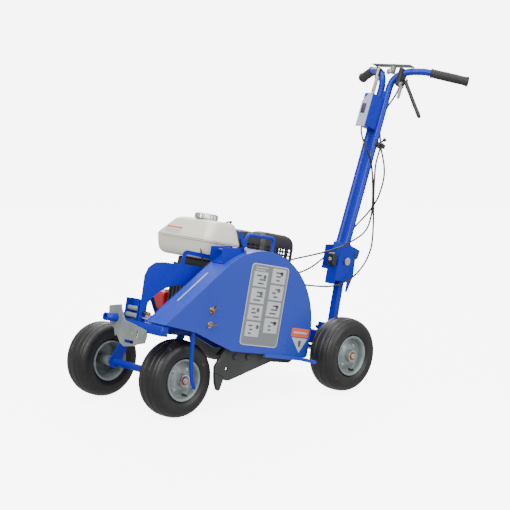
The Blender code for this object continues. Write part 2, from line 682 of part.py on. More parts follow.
def build_engine(chassis, materials):
    metal = materials["engine_metal"]
    base = DECK_TOP + GAP
    case = add_object("crankcase", box_mesh((-0.085, -0.430, 0.046), (0.084, -0.240, 0.225), 0.012, 2), metal, chassis)
    mount = box_mesh((-0.105, -0.455, base), (0.075, -0.225, 0.052))
    apply_boolean(case, cutter(mount, chassis), "UNION")
    shaft_hole = cutter(rod_mesh(0.0113, 0.03, 0.09), chassis, (0, *CRANK_CENTRE))
    apply_boolean(case, shaft_hole, "DIFFERENCE")
    add_object("crankshaft", rod_mesh(0.011, 0.031, 0.140), materials["bright_steel"], chassis, (0, *CRANK_CENTRE))

    fins = []
    count = 8
    pitch = 0.0105
    start = -0.2397
    for i in range(count):
        u = start + i * pitch
        fins += [(u, 0.140), (u, 0.272), (u + 0.0045, 0.272), (u + 0.0045, 0.240)]
        if i < count - 1:
            fins += [(u + pitch, 0.240)]
    last = start + (count - 1) * pitch + 0.0045
    fins += [(last, 0.140)]
    outline = [p for p in fins if p[1] > 0.2] + [(last, 0.140), (start, 0.140)]
    add_object("cylinder", plate_mesh(outline, -0.062, 0.028), metal, chassis)

    tank = box_mesh((TANK_X[0], TANK_U[0], TANK_W[0]), (TANK_X[1], TANK_U[1], TANK_W[1]), 0.028, 3)
    add_object("fuel_tank", tank, materials["tank_cream"], chassis, smooth=True)
    cap = bmesh.new()
    bmesh.ops.create_cone(cap, cap_ends=True, segments=24, radius1=CAP_RADIUS, radius2=CAP_RADIUS - 0.003, depth=CAP_HEIGHT)
    cap_place = (*CAP_CENTRE, TANK_W[1] + GAP + CAP_HEIGHT / 2)
    add_object("fuel_cap", cap, materials["bright_steel"], chassis, cap_place, smooth=True)

    bowl = [(-0.0853, 0.0), (-0.0853, 0.0895), (-0.122, 0.0895), (-0.158, 0.078), (-0.170, 0.055), (-0.170, 0.0)]
    add_object("recoil_cover", turned_mesh(bowl, 28), materials["red_cover"], chassis, (0, *CRANK_CENTRE), smooth=True)
    add_object(
        "starter_handle",
        box_mesh((-0.011, -0.0125, -0.032), (0.011, 0.0, 0.032), 0.004, 2),
        materials["black_plastic"],
        chassis,
        (-0.140, -0.4255, 0.160),
    )

    shell = add_object(
        "muffler_guard",
        box_mesh((GUARD_X[0], GUARD_U[0], GUARD_W[0] - 0.02), (GUARD_X[1], GUARD_U[1], GUARD_W[1]), 0.010, 2, True),
        materials["black_plastic"],
        chassis,
    )
    wall = 0.0025
    hollow = box_mesh(
        (GUARD_X[0] + wall, GUARD_U[0] + wall, 0.20),
        (GUARD_X[1] - wall, GUARD_U[1] - wall, GUARD_W[1] - wall),
        0.0085,
        2,
    )
    apply_boolean(shell, cutter(hollow, chassis), "DIFFERENCE")
    for i in range(4):
        low = GUARD_W[0] + 0.012 + 0.018 * i
        slot = box_mesh((0.010, GUARD_U[0] + 0.025, low), (0.140, GUARD_U[1] - 0.025, low + 0.008))
        apply_boolean(shell, cutter(slot, chassis), "DIFFERENCE")
    can = box_mesh((GUARD_X[0] + 0.008, -0.246, 0.282), (GUARD_X[1] - 0.008, -0.156, 0.366), 0.014, 2)
    add_object("muffler", can, materials["dark_steel"], chassis)
    cleaner = box_mesh((-0.140, -0.226, 0.274), (-0.030, -0.112, 0.376), 0.012, 2)
    add_object("air_cleaner", cleaner, materials["black_plastic"], chassis, smooth=True)


# ---------------------------------------------------------------- handle

def build_post(chassis, materials):
    blue = materials["blue_paint"]
    post = add_object(
        "rear_post",
        box_mesh(
            (POST_X - POST_HALF, POST_U - POST_HALF, REAR_BEAM_W[1] + GAP),
            (POST_X + POST_HALF, POST_U + POST_HALF, SEAT_W[0] + 0.004),
        ),
        blue,
        chassis,
    )
    socket = box_mesh((POST_X - 0.022, -0.0195, REAR_BEAM_W[1] + GAP), (POST_X + 0.0245, 0.0445, 0.096))
    apply_boolean(post, cutter(socket, chassis), "UNION")
    near = [
        (-0.022, 0.250), (-0.022, 0.372), (0.040, 0.380), (0.084, 0.370), (0.078, 0.339), (0.066, 0.336),
        (0.070, 0.276), (0.050, 0.215), (0.0425, 0.215), (0.0425, 0.250),
    ]
    far = [(u, w) for u, w in near if w > 0.3] + [(0.068, SEAT_W[0] + 0.001), (-0.022, SEAT_W[0] + 0.001)]
    for outline, x0, x1 in ((near, 0.2735, 0.2775), (far, 0.2025, 0.2065)):
        apply_boolean(post, cutter(plate_mesh(outline, x0, x1), chassis), "UNION")
    web = box_mesh((0.232, -0.0255, 0.236), (0.2773, -0.0215, SEAT_W[1] - 0.002))
    apply_boolean(post, cutter(web, chassis), "UNION")
    rib = box_mesh((0.2325, -0.0235, 0.238), (0.2365, 0.0405, SEAT_W[1] - 0.003))
    apply_boolean(post, cutter(rib, chassis), "UNION")
    seat = box_mesh((0.2027, -0.0235, SEAT_W[0]), (0.2773, 0.044, SEAT_W[1]))
    apply_boolean(post, cutter(seat, chassis), "UNION")
    bolt_hole = cutter(rod_mesh(0.0063, 0.19, 0.29), chassis, (0, *HANDLE_PIVOT))
    apply_boolean(post, bolt_hole, "DIFFERENCE")
    bolt = [
        (0.1955, 0.0), (0.1955, 0.011), (0.2022, 0.011), (0.2022, 0.006), (0.2778, 0.006), (0.2778, 0.012),
        (0.2835, 0.012), (0.2835, 0.0),
    ]
    add_object("pivot_bolt", turned_mesh(bolt, 16), materials["bright_steel"], chassis, (0, *HANDLE_PIVOT))


def bar_route(side):
    route = [Vector((HANDLE_X + side * (TUBE_SPACING + x), v, t)) for x, v, t in BAR_ROUTE]
    return route[:2] + smooth_route(route[1:], 12)[1:]


def build_handle(handle, materials):
    """The folding column: a foot in the bracket, two tubes side by side, and what is clamped to them."""
    blue = materials["blue_paint"]
    foot = box_mesh((0.2085, -0.016, -0.016), (0.2715, 0.016, 0.064))
    column = add_object("handle_column", foot, blue, handle)
    web = box_mesh((HANDLE_X - 0.0075, -0.005, 0.050), (HANDLE_X + 0.0075, 0.005, 0.640))
    apply_boolean(column, cutter(web, handle), "UNION")
    for side in (1, -1):
        route = bar_route(side)
        apply_boolean(column, cutter(swept_mesh(route, [TUBE_RADIUS] * len(route), 12), handle), "UNION")
    apply_boolean(column, cutter(rod_mesh(0.0063, 0.19, 0.29), handle), "DIFFERENCE")

    for side, name in ((1, "grip_left"), (-1, "grip_right")):
        start = Vector((HANDLE_X + side * GRIP_START[0], *GRIP_START[1:]))
        end = Vector((HANDLE_X + side * GRIP_END[0], *GRIP_END[1:]))
        start.x += side * TUBE_SPACING
        end.x += side * TUBE_SPACING
        stops = (0.0, 0.03, 0.12, 0.88, 0.94, 1.0)
        radii = (0.0150, GRIP_RADIUS, 0.0155, 0.0155, GRIP_FLARE, 0.0165)
        grip = add_object(
            name, swept_mesh([start.lerp(end, s) for s in stops], radii, 16), materials["grip_rubber"], handle,
            smooth=True,
        )
        route = bar_route(side)
        route[-1] += (route[-1] - route[-2]).normalized() * GAP
        tube = cutter(swept_mesh(route, [TUBE_RADIUS + GAP] * len(route), 12), handle)
        apply_boolean(grip, tube, "DIFFERENCE")

    box_low = (HANDLE_X - BOX_HALF_X, BOX_V[0], BOX_T[0])
    box_high = (HANDLE_X + BOX_HALF_X, BOX_V[1], BOX_T[1])
    add_object("control_box", box_mesh(box_low, box_high, 0.002), blue, handle)
    throttle = bar_outline((0, 0), (0, 0.062), 0.0048, 0.0058)
    add_object(
        "throttle_lever",
        plate_mesh(throttle, -0.004, 0.004),
        materials["bright_steel"],
        handle,
        (HANDLE_X - 0.006, -0.050, BOX_T[1] + 0.0052),
    )
    clip = add_object(
        "cable_clip",
        box_mesh((0.254, -0.006, 0.432), (0.2865, 0.034, 0.448), 0.003),
        materials["black_plastic"],
        handle,
    )
    apply_boolean(clip, cutter(rod_mesh(0.007, 0.280, 0.296, 12), handle, (0, 0.004, 0.440)), "UNION")
    bore = bmesh.new()
    bmesh.ops.create_cone(
        bore, cap_ends=True, segments=12, radius1=TUBE_RADIUS + GAP, radius2=TUBE_RADIUS + GAP, depth=0.1
    )
    apply_boolean(clip, cutter(bore, handle, (HANDLE_X + TUBE_SPACING, 0, 0.440)), "DIFFERENCE")
    build_levers(handle, materials)
    return clip


def build_levers(handle, materials):
    """The clutch lever in its clamp on the left bar, and the steel strip that ties both bars together."""
    clamp = add_object(
        "lever_clamp",
        box_mesh((0.286, -0.010, 0.662), (0.302, 0.028, 0.730), 0.003),
        materials["black_plastic"],
        handle,
    )
    route = bar_route(1)
    tube = cutter(swept_mesh(route, [TUBE_RADIUS + GAP] * len(route), 12), handle)
    apply_boolean(clamp, tube, "DIFFERENCE")
    strip = box_mesh((0.145, 0.000, 0.7417), (0.325, 0.030, 0.7457), 0.001)
    plate = add_object("bar_plate", strip, materials["galvanised"], handle)
    bolt = bmesh.new()
    bmesh.ops.create_cone(bolt, cap_ends=True, segments=12, radius1=0.011, radius2=0.011, depth=0.030)
    apply_boolean(plate, cutter(bolt, handle, (HANDLE_X, 0.014, 0.7290)), "UNION")

    blade = [
        Vector(p)
        for p in ((0, 0, 0.003), (0.004, 0.003, -0.012), (0.020, 0.014, -0.040), (0.044, 0.031, -0.082), (0.068, 0.048, -0.123))
    ]
    lever_route = smooth_route(blade, 9)
    radii = [LEVER_RADIUS - 0.0004] + [LEVER_RADIUS - 0.0002] * 7 + [LEVER_RADIUS]
    add_object(
        "clutch_lever", swept_mesh(lever_route, radii, 8), materials["black_plastic"], handle, CLUTCH_PIVOT
    )


# ---------------------------------------------------------------- cables

THROTTLE_ROUTE = [
    (0.240, 0.857, 0.914), (0.243, 0.850, 0.897), (0.262, 0.836, 0.872), (0.282, 0.833, 0.842),
    (0.289, 0.843, 0.808), (0.290, 0.856, 0.769), (0.290, 0.863, 0.697), (0.290, 0.862, 0.625),
    (0.290, 0.854, 0.587), (0.290, 0.838, 0.554), (0.290, 0.807, 0.530), (0.290, 0.757, 0.513),
    (0.288, 0.696, 0.497), (0.255, 0.652, 0.481), (0.210, 0.615, 0.466), (0.165, 0.580, 0.452),
    (0.135, 0.545, 0.438), (0.128, 0.505, 0.426), (0.107, 0.465, 0.422), (0.060, 0.410, 0.429),
]
CLUTCH_ROUTE = [
    (0.292, 0.998, 1.0465), (0.284, 0.994, 1.026), (0.268, 0.987, 0.999), (0.252, 0.976, 0.969),
    (0.248, 0.959, 0.927), (0.252, 0.943, 0.892), (0.266, 0.928, 0.866), (0.280, 0.914, 0.842),
    (0.282, 0.902, 0.815), (0.290, 0.880, 0.785), (0.299, 0.863, 0.750),
    (0.300, 0.858, 0.687), (0.300, 0.857, 0.626), (0.300, 0.857, 0.561), (0.300, 0.853, 0.508),
    (0.299, 0.843, 0.468), (0.297, 0.814, 0.424), (0.294, 0.764, 0.386), (0.288, 0.715, 0.368),
    (0.284, 0.686, 0.362), (0.266, 0.656, 0.358), (0.230, 0.632, 0.358), (0.195, 0.610, 0.360),
    (0.165, 0.580, 0.362), (0.148, 0.530, 0.358), (0.141, 0.450, 0.345), (0.140, 0.330, 0.330),
]
STOP_ROUTE = [
    (0.264, 0.935, 0.829), (0.270, 0.938, 0.800), (0.275, 0.941, 0.768), (0.275, 0.942, 0.730),
    (0.268, 0.937, 0.686), (0.252, 0.930, 0.640), (0.226, 0.914, 0.594), (0.200, 0.880, 0.548),
    (0.187, 0.828, 0.505), (0.182, 0.770, 0.467), (0.177, 0.722, 0.439), (0.168, 0.670, 0.412),
    (0.150, 0.622, 0.396), (0.128, 0.575, 0.392), (0.108, 0.535, 0.400),
]


def build_cables(machine, clip, materials):
    routes = {"throttle_cable": THROTTLE_ROUTE, "clutch_cable": CLUTCH_ROUTE, "stop_cable": STOP_ROUTE}
    for name, points in routes.items():
        curve = bpy.data.curves.new(name, "CURVE")
        curve.dimensions = "3D"
        curve.bevel_depth = CABLE_RADIUS
        curve.bevel_resolution = 2
        curve.use_fill_caps = True
        spline = curve.splines.new("POLY")
        route = smooth_route(points, CABLE_POINTS)
        spline.points.add(len(route) - 1)
        for spot, place in zip(spline.points, route):
            spot.co = (*place, 1.0)
        cable = bpy.data.objects.new(name, curve)
        bpy.context.scene.collection.objects.link(cable)
        cable.parent = machine
        curve.materials.append(materials["cable_sheath"])
    route = smooth_route(CLUTCH_ROUTE, CABLE_POINTS)
    bore = cutter(swept_mesh(route, [CABLE_RADIUS + GAP] * len(route), 8), machine)
    apply_boolean(clip, bore, "DIFFERENCE")


def main():
    clear_scene()
    materials = make_materials()
    machine = make_empty("machine", location=(-CENTRE_X, -CENTRE_Y, 0))
    chassis = make_empty("chassis", machine, (0, WHEELBASE, AXLE_HEIGHT), (-PITCH, 0, 0))
    handle = make_empty("handle", chassis, (0, *HANDLE_PIVOT), (-HANDLE_LEAN, 0, 0))
    build_wheels(machine, materials)
    build_front_arm(machine, materials)
    build_frame(chassis, materials)
    build_housing(chassis, materials)
    build_rotor(chassis, materials)
    build_belt_drive(chassis, materials)
    build_front_fittings(chassis, materials)
    build_engine(chassis, materials)
    build_post(chassis, materials)
    clip = build_handle(handle, materials)
    build_cables(machine, clip, materials)


main()
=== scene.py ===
"""Looks of the walk-behind trencher: fine meshes, procedural materials, floor, lights and camera.

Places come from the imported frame. Most pieces are drawn in one of four sets of axes and moved to the world:
MACHINE (level, on the floor under the front axle), CHASSIS (x across, u rearwards, w up from the deck),
HANDLE (x across, v rearwards, t along the column) and a WHEEL's own axes with X along its axle.
"""

import json
import math
import random

import bmesh
import bpy
from mathutils import Matrix, Vector

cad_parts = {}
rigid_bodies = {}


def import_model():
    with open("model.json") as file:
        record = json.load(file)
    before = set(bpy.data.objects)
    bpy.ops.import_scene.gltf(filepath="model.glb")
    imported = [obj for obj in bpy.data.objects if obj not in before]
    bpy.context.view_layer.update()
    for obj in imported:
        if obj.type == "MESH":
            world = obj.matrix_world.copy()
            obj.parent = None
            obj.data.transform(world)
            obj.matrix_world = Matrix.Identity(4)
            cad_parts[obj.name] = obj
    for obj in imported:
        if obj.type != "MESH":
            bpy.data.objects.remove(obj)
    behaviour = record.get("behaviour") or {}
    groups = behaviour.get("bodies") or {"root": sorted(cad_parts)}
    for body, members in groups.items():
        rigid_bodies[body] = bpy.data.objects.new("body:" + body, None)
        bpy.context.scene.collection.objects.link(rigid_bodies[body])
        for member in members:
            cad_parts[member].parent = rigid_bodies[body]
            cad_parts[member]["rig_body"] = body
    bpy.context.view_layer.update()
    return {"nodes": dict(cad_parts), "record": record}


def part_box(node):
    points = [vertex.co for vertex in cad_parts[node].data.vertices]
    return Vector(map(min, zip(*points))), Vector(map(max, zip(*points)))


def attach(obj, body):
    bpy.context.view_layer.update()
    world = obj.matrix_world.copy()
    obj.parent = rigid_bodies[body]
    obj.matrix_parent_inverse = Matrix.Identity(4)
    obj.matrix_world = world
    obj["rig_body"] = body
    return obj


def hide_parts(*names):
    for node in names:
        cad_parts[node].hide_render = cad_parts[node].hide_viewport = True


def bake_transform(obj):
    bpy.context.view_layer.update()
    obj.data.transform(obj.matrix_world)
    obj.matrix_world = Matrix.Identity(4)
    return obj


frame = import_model()

PITCH = math.radians(13.5)
LEAN = math.radians(8.6)
SMOOTH_ANGLE = math.radians(34)


def centre(node):
    """The middle of a node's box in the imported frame."""
    low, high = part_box(node)
    return (low + high) / 2


AXLE_REAR = centre("rear_left_rim")
AXLE_FRONT = centre("front_left_rim")
MIDDLE_X = (centre("front_left_rim").x + centre("front_right_rim").x) / 2
PIVOT = centre("pivot_bolt")
MACHINE = Matrix.Translation((MIDDLE_X, AXLE_FRONT.y, 0))
CHASSIS = Matrix.Translation((MIDDLE_X, AXLE_REAR.y, AXLE_REAR.z)) @ Matrix.Rotation(-PITCH, 4, "X")
HANDLE = Matrix.Translation((MIDDLE_X, PIVOT.y, PIVOT.z)) @ Matrix.Rotation(-PITCH - LEAN, 4, "X")


# ---------------------------------------------------------------- materials

def noise(nodes, links, scale, detail=4.0, stretch=(1, 1, 1)):
    """Noise in the piece's own coordinates."""
    place = nodes.new("ShaderNodeTexCoord")
    mapping = nodes.new("ShaderNodeMapping")
    mapping.inputs["Scale"].default_value = stretch
    links.new(place.outputs["Object"], mapping.inputs["Vector"])
    texture = nodes.new("ShaderNodeTexNoise")
    texture.inputs["Scale"].default_value = scale
    texture.inputs["Detail"].default_value = detail
    links.new(mapping.outputs["Vector"], texture.inputs["Vector"])
    return texture.outputs["Fac"]


def ramp(nodes, links, source, stops):
    """A colour ramp through (position, colour) stops."""
    node = nodes.new("ShaderNodeValToRGB")
    node.color_ramp.elements[0].position = stops[0][0]
    node.color_ramp.elements[0].color = (*stops[0][1], 1)
    node.color_ramp.elements[1].position = stops[-1][0]
    node.color_ramp.elements[1].color = (*stops[-1][1], 1)
    for position, colour in stops[1:-1]:
        node.color_ramp.elements.new(position).color = (*colour, 1)
    links.new(source, node.inputs["Fac"])
    return node.outputs["Color"]


def shade(colour, amount):
    """A colour made lighter or darker."""
    return tuple(max(0.0, min(1.0, c * amount)) for c in colour)


def finish(
    name, colour, roughness, metallic=0.0, mottle=(6.0, 0.1), grain=(300.0, 0.04), wear=None, coat=0.0,
    stretch=(1, 1, 1), spread=0.08, specular=0.5,
):
    """A material with mottled colour, uneven gloss, fine grain and, if asked, worn or dusty spots."""
    material = bpy.data.materials.new(name)
    material.use_nodes = True
    nodes = material.node_tree.nodes
    links = material.node_tree.links
    shader = nodes["Principled BSDF"]
    shader.inputs["Metallic"].default_value = metallic
    shader.inputs["Coat Weight"].default_value = coat
    shader.inputs["Coat Roughness"].default_value = 0.12
    shader.inputs["Specular IOR Level"].default_value = specular
    broad = noise(nodes, links, mottle[0])
    tint = ramp(
        nodes, links, broad, [(0.3, shade(colour, 1 - mottle[1])), (0.7, shade(colour, 1 + mottle[1]))]
    )
    if wear:
        scale, edge, worn = wear
        spots = noise(nodes, links, scale, 8.0)
        mask = nodes.new("ShaderNodeMapRange")
        mask.inputs["From Min"].default_value = edge
        mask.inputs["From Max"].default_value = edge + 0.05
        links.new(spots, mask.inputs["Value"])
        blend = nodes.new("ShaderNodeMix")
        blend.data_type = "RGBA"
        links.new(mask.outputs["Result"], blend.inputs["Factor"])
        links.new(tint, blend.inputs[6])
        blend.inputs[7].default_value = (*worn, 1)
        tint = blend.outputs[2]
    links.new(tint, shader.inputs["Base Color"])
    gloss = nodes.new("ShaderNodeMapRange")
    gloss.inputs["From Min"].default_value = 0.3
    gloss.inputs["From Max"].default_value = 0.7
    gloss.inputs["To Min"].default_value = max(0.03, roughness - spread)
    gloss.inputs["To Max"].default_value = min(1.0, roughness + spread)
    links.new(noise(nodes, links, mottle[0] * 3.1), gloss.inputs["Value"])
    links.new(gloss.outputs["Result"], shader.inputs["Roughness"])
    bump = nodes.new("ShaderNodeBump")
    bump.inputs["Strength"].default_value = grain[1]
    bump.inputs["Distance"].default_value = 0.002
    links.new(noise(nodes, links, grain[0], 3.0, stretch), bump.inputs["Height"])
    links.new(bump.outputs["Normal"], shader.inputs["Normal"])
    return material


MATERIALS = {
    "blue": finish(
        "blue_powder_coat", (0.006, 0.017, 0.4), 0.3, 0.0, (5.0, 0.08), (420.0, 0.1), None, 0.12,
        specular=0.22
    ),
    # A lighter copy of the blue paint: painted highlight for the lit, reflecting faces of the housing sheets,
    # cover and feed guide rod.
    "blue_painted_highlight": finish(
        "blue_powder_coat_painted_highlight", (0.028, 0.06, 0.44), 0.34, 0.0, (4.0, 0.05), (420.0, 0.1), None, 0.12,
        specular=0.22
    ),
    "tyre": finish(
        "tyre_rubber", (0.01, 0.01, 0.01), 0.44, 0.0, (22.0, 0.35), (260.0, 0.18),
        (34.0, 0.66, (0.05, 0.047, 0.042))
    ),
    "rim": finish("grey_rim_paint", (0.235, 0.27, 0.275), 0.36, 0.25, (30.0, 0.16), (240.0, 0.14)),
    "zinc": finish(
        "dull_zinc", (0.235, 0.27, 0.262), 0.5, 0.35, (28.0, 0.14), (200.0, 0.16),
        (60.0, 0.62, (0.33, 0.36, 0.35))
    ),
    "steel": finish(
        "bright_steel", (0.62, 0.62, 0.6), 0.27, 1.0, (40.0, 0.08), (300.0, 0.1), None, 0.0, (1, 8, 8)
    ),
    "yellow_zinc": finish("yellow_zinc", (0.46, 0.28, 0.09), 0.3, 1.0, (60.0, 0.25), (300.0, 0.1)),
    "dark_steel": finish(
        "rolled_steel", (0.055, 0.058, 0.058), 0.48, 0.35, (9.0, 0.22), (120.0, 0.16),
        (18.0, 0.64, (0.09, 0.085, 0.08))
    ),
    "cast": finish("cast_aluminium", (0.36, 0.36, 0.35), 0.46, 0.85, (30.0, 0.14), (340.0, 0.45)),
    "black_cast": finish(
        "black_engine_paint", (0.018, 0.018, 0.019), 0.42, 0.0, (30.0, 0.2), (340.0, 0.25)
    ),
    "cream": finish(
        "cream_tank_paint", (0.8, 0.76, 0.62), 0.22, 0.0, (3.0, 0.025), (500.0, 0.02), None, 0.6
    ),
    "red": finish(
        "red_cover_paint", (0.44, 0.01, 0.01), 0.28, 0.0, (8.0, 0.08), (420.0, 0.06), None, 0.4
    ),
    "black": finish("black_moulded_plastic", (0.016, 0.016, 0.017), 0.42, 0.0, (30.0, 0.2), (650.0, 0.3)),
    "grip": finish("grip_rubber", (0.02, 0.021, 0.021), 0.66, 0.0, (40.0, 0.25), (520.0, 0.4)),
    "sheath": finish("cable_sheath", (0.014, 0.014, 0.014), 0.36, 0.0, (90.0, 0.2), (700.0, 0.1)),
    "belt": finish("belt_rubber", (0.02, 0.02, 0.02), 0.8, 0.0, (60.0, 0.3), (500.0, 0.35)),
    "label_grey": finish(
        "label_film_grey", (0.19, 0.205, 0.215), 0.33, 0.0, (10.0, 0.03), (600.0, 0.02), None, 0.3
    ),
    "label_white": finish(
        "label_film_white", (0.52, 0.54, 0.56), 0.33, 0.0, (10.0, 0.03), (600.0, 0.02), None, 0.3
    ),
    "label_ink": finish("label_ink", (0.1, 0.12, 0.13), 0.38, 0.0, (10.0, 0.1), (600.0, 0.02)),
    "label_orange": finish(
        "label_film_orange", (0.78, 0.13, 0.05), 0.35, 0.0, (10.0, 0.05), (600.0, 0.02)
    ),
    # A pale lilac copy of the blue paint: painted highlight for the brightly lit control box plate and feed
    # guide tab.
    "lilac_painted_highlight": finish("pale_blue_painted_highlight", (0.44, 0.47, 0.66), 0.4, 0.0, (12.0, 0.05), (500.0, 0.05)),
    "switch": finish("dark_violet_switch", (0.07, 0.035, 0.1), 0.35, 0.0, (40.0, 0.15), (500.0, 0.1)),
    "beige": finish("beige_lever", (0.52, 0.48, 0.38), 0.34, 0.35, (40.0, 0.12), (300.0, 0.1)),
    "hub_orange": finish("hub_grease_seal", (0.3, 0.11, 0.035), 0.45, 0.2, (90.0, 0.3), (400.0, 0.2))
}


# ---------------------------------------------------------------- building tools


def put(name, bm, material, body, axes=None, nodes=(), slot=None, smooth=True, bevel=0.0, segments=2):
    """Turn a bmesh in the given axes into a piece that rides on a body and may stand for CAD nodes."""
    bmesh.ops.recalc_face_normals(bm, faces=bm.faces)
    mesh = bpy.data.meshes.new(name)
    bm.to_mesh(mesh)
    bm.free()
    if axes is not None:
        mesh.transform(axes)
    piece = bpy.data.objects.new(name, mesh)
    bpy.context.scene.collection.objects.link(piece)
    mesh.materials.append(MATERIALS[material])
    if bevel:
        modifier = piece.modifiers.new("rounded edges", "BEVEL")
        modifier.width = bevel
        modifier.segments = segments
        modifier.limit_method = "ANGLE"
        modifier.angle_limit = math.radians(32)
        modifier.harden_normals = True
    if smooth:
        mesh.shade_smooth()
        mesh.set_sharp_from_angle(angle=SMOOTH_ANGLE)
    if body:
        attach(piece, body)
    if nodes:
        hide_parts(*nodes)
    return piece


def on_chassis(name, bm, material, nodes=(), **form):
    """A piece drawn in chassis axes that rides on the chassis."""
    return put(name, bm, material, "chassis", CHASSIS, nodes, **form)


def on_handle(name, bm, material, nodes=(), **form):
    """A piece drawn in handle axes that rides on the folding handle."""
    return put(name, bm, material, "handle", HANDLE, nodes, **form)


def merged(parts):
    """One bmesh from several."""
    whole = bmesh.new()
    for part in parts:
        mesh = bpy.data.meshes.new("part")
        part.to_mesh(mesh)
        part.free()
        whole.from_mesh(mesh)
        bpy.data.meshes.remove(mesh)
    return whole


def box(low, high, bevel=0.0, segments=2):
    bm = bmesh.new()
    size = [high[i] - low[i] for i in range(3)]
    middle = [(high[i] + low[i]) / 2 for i in range(3)]
    bmesh.ops.create_cube(bm, size=1.0, matrix=Matrix.Translation(middle) @ Matrix.Diagonal((*size, 1.0)))
    if bevel:
        bmesh.ops.bevel(
            bm, geom=bm.edges[:], offset=bevel, segments=segments, profile=0.5, affect="EDGES"
        )
    return bm


def prism(corners, shift):
    """A solid between a flat outline, given as corners in space, and its copy moved by a shift."""
    bm = bmesh.new()
    face = bm.faces.new([bm.verts.new(corner) for corner in corners])
    grown = bmesh.ops.extrude_face_region(bm, geom=[face])
    moved = [item for item in grown["geom"] if isinstance(item, bmesh.types.BMVert)]
    bmesh.ops.translate(bm, verts=moved, vec=shift)
    return bm


def skin(bm, rings):
    """Join rings of vertices into a tube and close both its ends."""
    for a, b in zip(rings, rings[1:]):
        for k in range(len(a)):
            bm.faces.new((a[k - 1], a[k], b[k], b[k - 1]))
    bm.faces.new(rings[0])
    bm.faces.new(rings[-1])
    return bm


def plate(outline, near, far, axis=0, bevel=0.0, segments=2):
    """A flat plate with an outline across one axis, between two places along it."""
    corners = []
    for point in outline:
        corner = list(point)
        corner.insert(axis, near)
        corners.append(corner)
    shift = [0.0, 0.0, 0.0]
    shift[axis] = far - near
    bm = prism(corners, shift)
    if bevel:
        rims = [edge for edge in bm.edges if abs(edge.verts[0].co[axis] - edge.verts[1].co[axis]) < 1e-7]
        bmesh.ops.bevel(bm, geom=rims, offset=bevel, segments=segments, profile=0.5, affect="EDGES")
    return bm


def turned(profile, steps, centre_at=(0, 0, 0), axis="X", closed=True):
    """A profile of (along, radius) pairs turned about an axis."""
    bm = bmesh.new()
    spots = [bm.verts.new((x, 0, r)) for x, r in profile]
    pairs = range(len(spots)) if closed else range(1, len(spots))
    edges = []
    for i in pairs:
        if profile[i - 1][1] > 1e-6 or profile[i][1] > 1e-6:
            edges.append(bm.edges.new((spots[i - 1], spots[i])))
    bmesh.ops.spin(
        bm, geom=spots + edges, cent=(0, 0, 0), axis=(1, 0, 0), angle=2 * math.pi, steps=steps,
        use_merge=True
    )
    bmesh.ops.remove_doubles(bm, verts=bm.verts[:], dist=1e-6)
    if axis == "Y":
        bm.transform(Matrix.Rotation(math.pi / 2, 4, "Z"))
    if axis == "Z":
        bm.transform(Matrix.Rotation(-math.pi / 2, 4, "Y"))
    bm.transform(Matrix.Translation(centre_at))
    return bm


def arc(middle, radius, start, end, count):
    """Points along a circle from one angle to another, in degrees."""
    points = []
    for i in range(count):
        angle = math.radians(start + (end - start) * i / (count - 1))
        points.append((middle[0] + radius * math.cos(angle), middle[1] + radius * math.sin(angle)))
    return points


def rounded(outline, radius, count=5):
    """An outline with every corner rounded by about the given radius."""
    result = []
    for i, point in enumerate(outline):
        here = Vector(point)
        before = Vector(outline[i - 1]) - here
        after = Vector(outline[(i + 1) % len(outline)]) - here
        reach = min(radius, before.length * 0.45, after.length * 0.45)
        a = here + before.normalized() * reach
        b = here + after.normalized() * reach
        for k in range(count):
            t = k / (count - 1)
            spot = a.lerp(here, t).lerp(here.lerp(b, t), t)
            result.append((spot.x, spot.y))
    return result


def spline(points, count):
    """Points spread along a Catmull-Rom curve through the given ones."""
    knots = [Vector(p) for p in points]
    knots = [2 * knots[0] - knots[1]] + knots + [2 * knots[-1] - knots[-2]]
    spans = len(knots) - 3
    route = []
    for i in range(count):
        place = i / (count - 1) * spans
        k = min(int(place), spans - 1)
        t = place - k
        a, b, c, d = knots[k : k + 4]
        route.append(
            0.5 * (
                2 * b + (c - a) * t + (2 * a - 5 * b + 4 * c - d) * t * t + (3 * b - a - 3 * c + d) * t**3
            )
        )
    return route


def swept(route, radius, sides=20):
    """A round solid along a route; radius is one number or one for each point."""
    bm = bmesh.new()
    radii = radius if isinstance(radius, (list, tuple)) else [radius] * len(route)
    rings = []
    normal = Vector((0.1, 1, 0.05))
    for i, point in enumerate(route):
        ahead = (route[min(i + 1, len(route) - 1)] - route[max(i - 1, 0)]).normalized()
        normal = (normal - normal.dot(ahead) * ahead).normalized()
        side = ahead.cross(normal)
        ring = []
        for k in range(sides):
            angle = 2 * math.pi * k / sides
            ring.append(
                bm.verts.new(point + radii[i] * (math.cos(angle) * normal + math.sin(angle) * side))
            )
        rings.append(ring)
    return skin(bm, rings)


def hex_bolt(place, radius, height, axis="X", washer=True):
    """A hexagon head with a chamfered top on a washer; a negative height faces the other way."""
    side = 1 if height > 0 else -1
    parts = []
    if washer:
        parts.append(
            turned([(0, 0), (0, radius * 1.35), (side * 0.0012, radius * 1.35), (side * 0.0012, 0)], 20)
        )
    tall = abs(height)
    head = [(0.001, 0), (0.001, radius), (tall * 0.82, radius), (tall, radius * 0.86), (tall, 0)]
    parts.append(turned([(side * x, r) for x, r in head], 6))
    whole = merged(parts)
    if axis == "Y":
        whole.transform(Matrix.Rotation(math.pi / 2, 4, "Z"))
    if axis == "Z":
        whole.transform(Matrix.Rotation(-math.pi / 2, 4, "Y"))
    whole.transform(Matrix.Translation(place))
    return whole


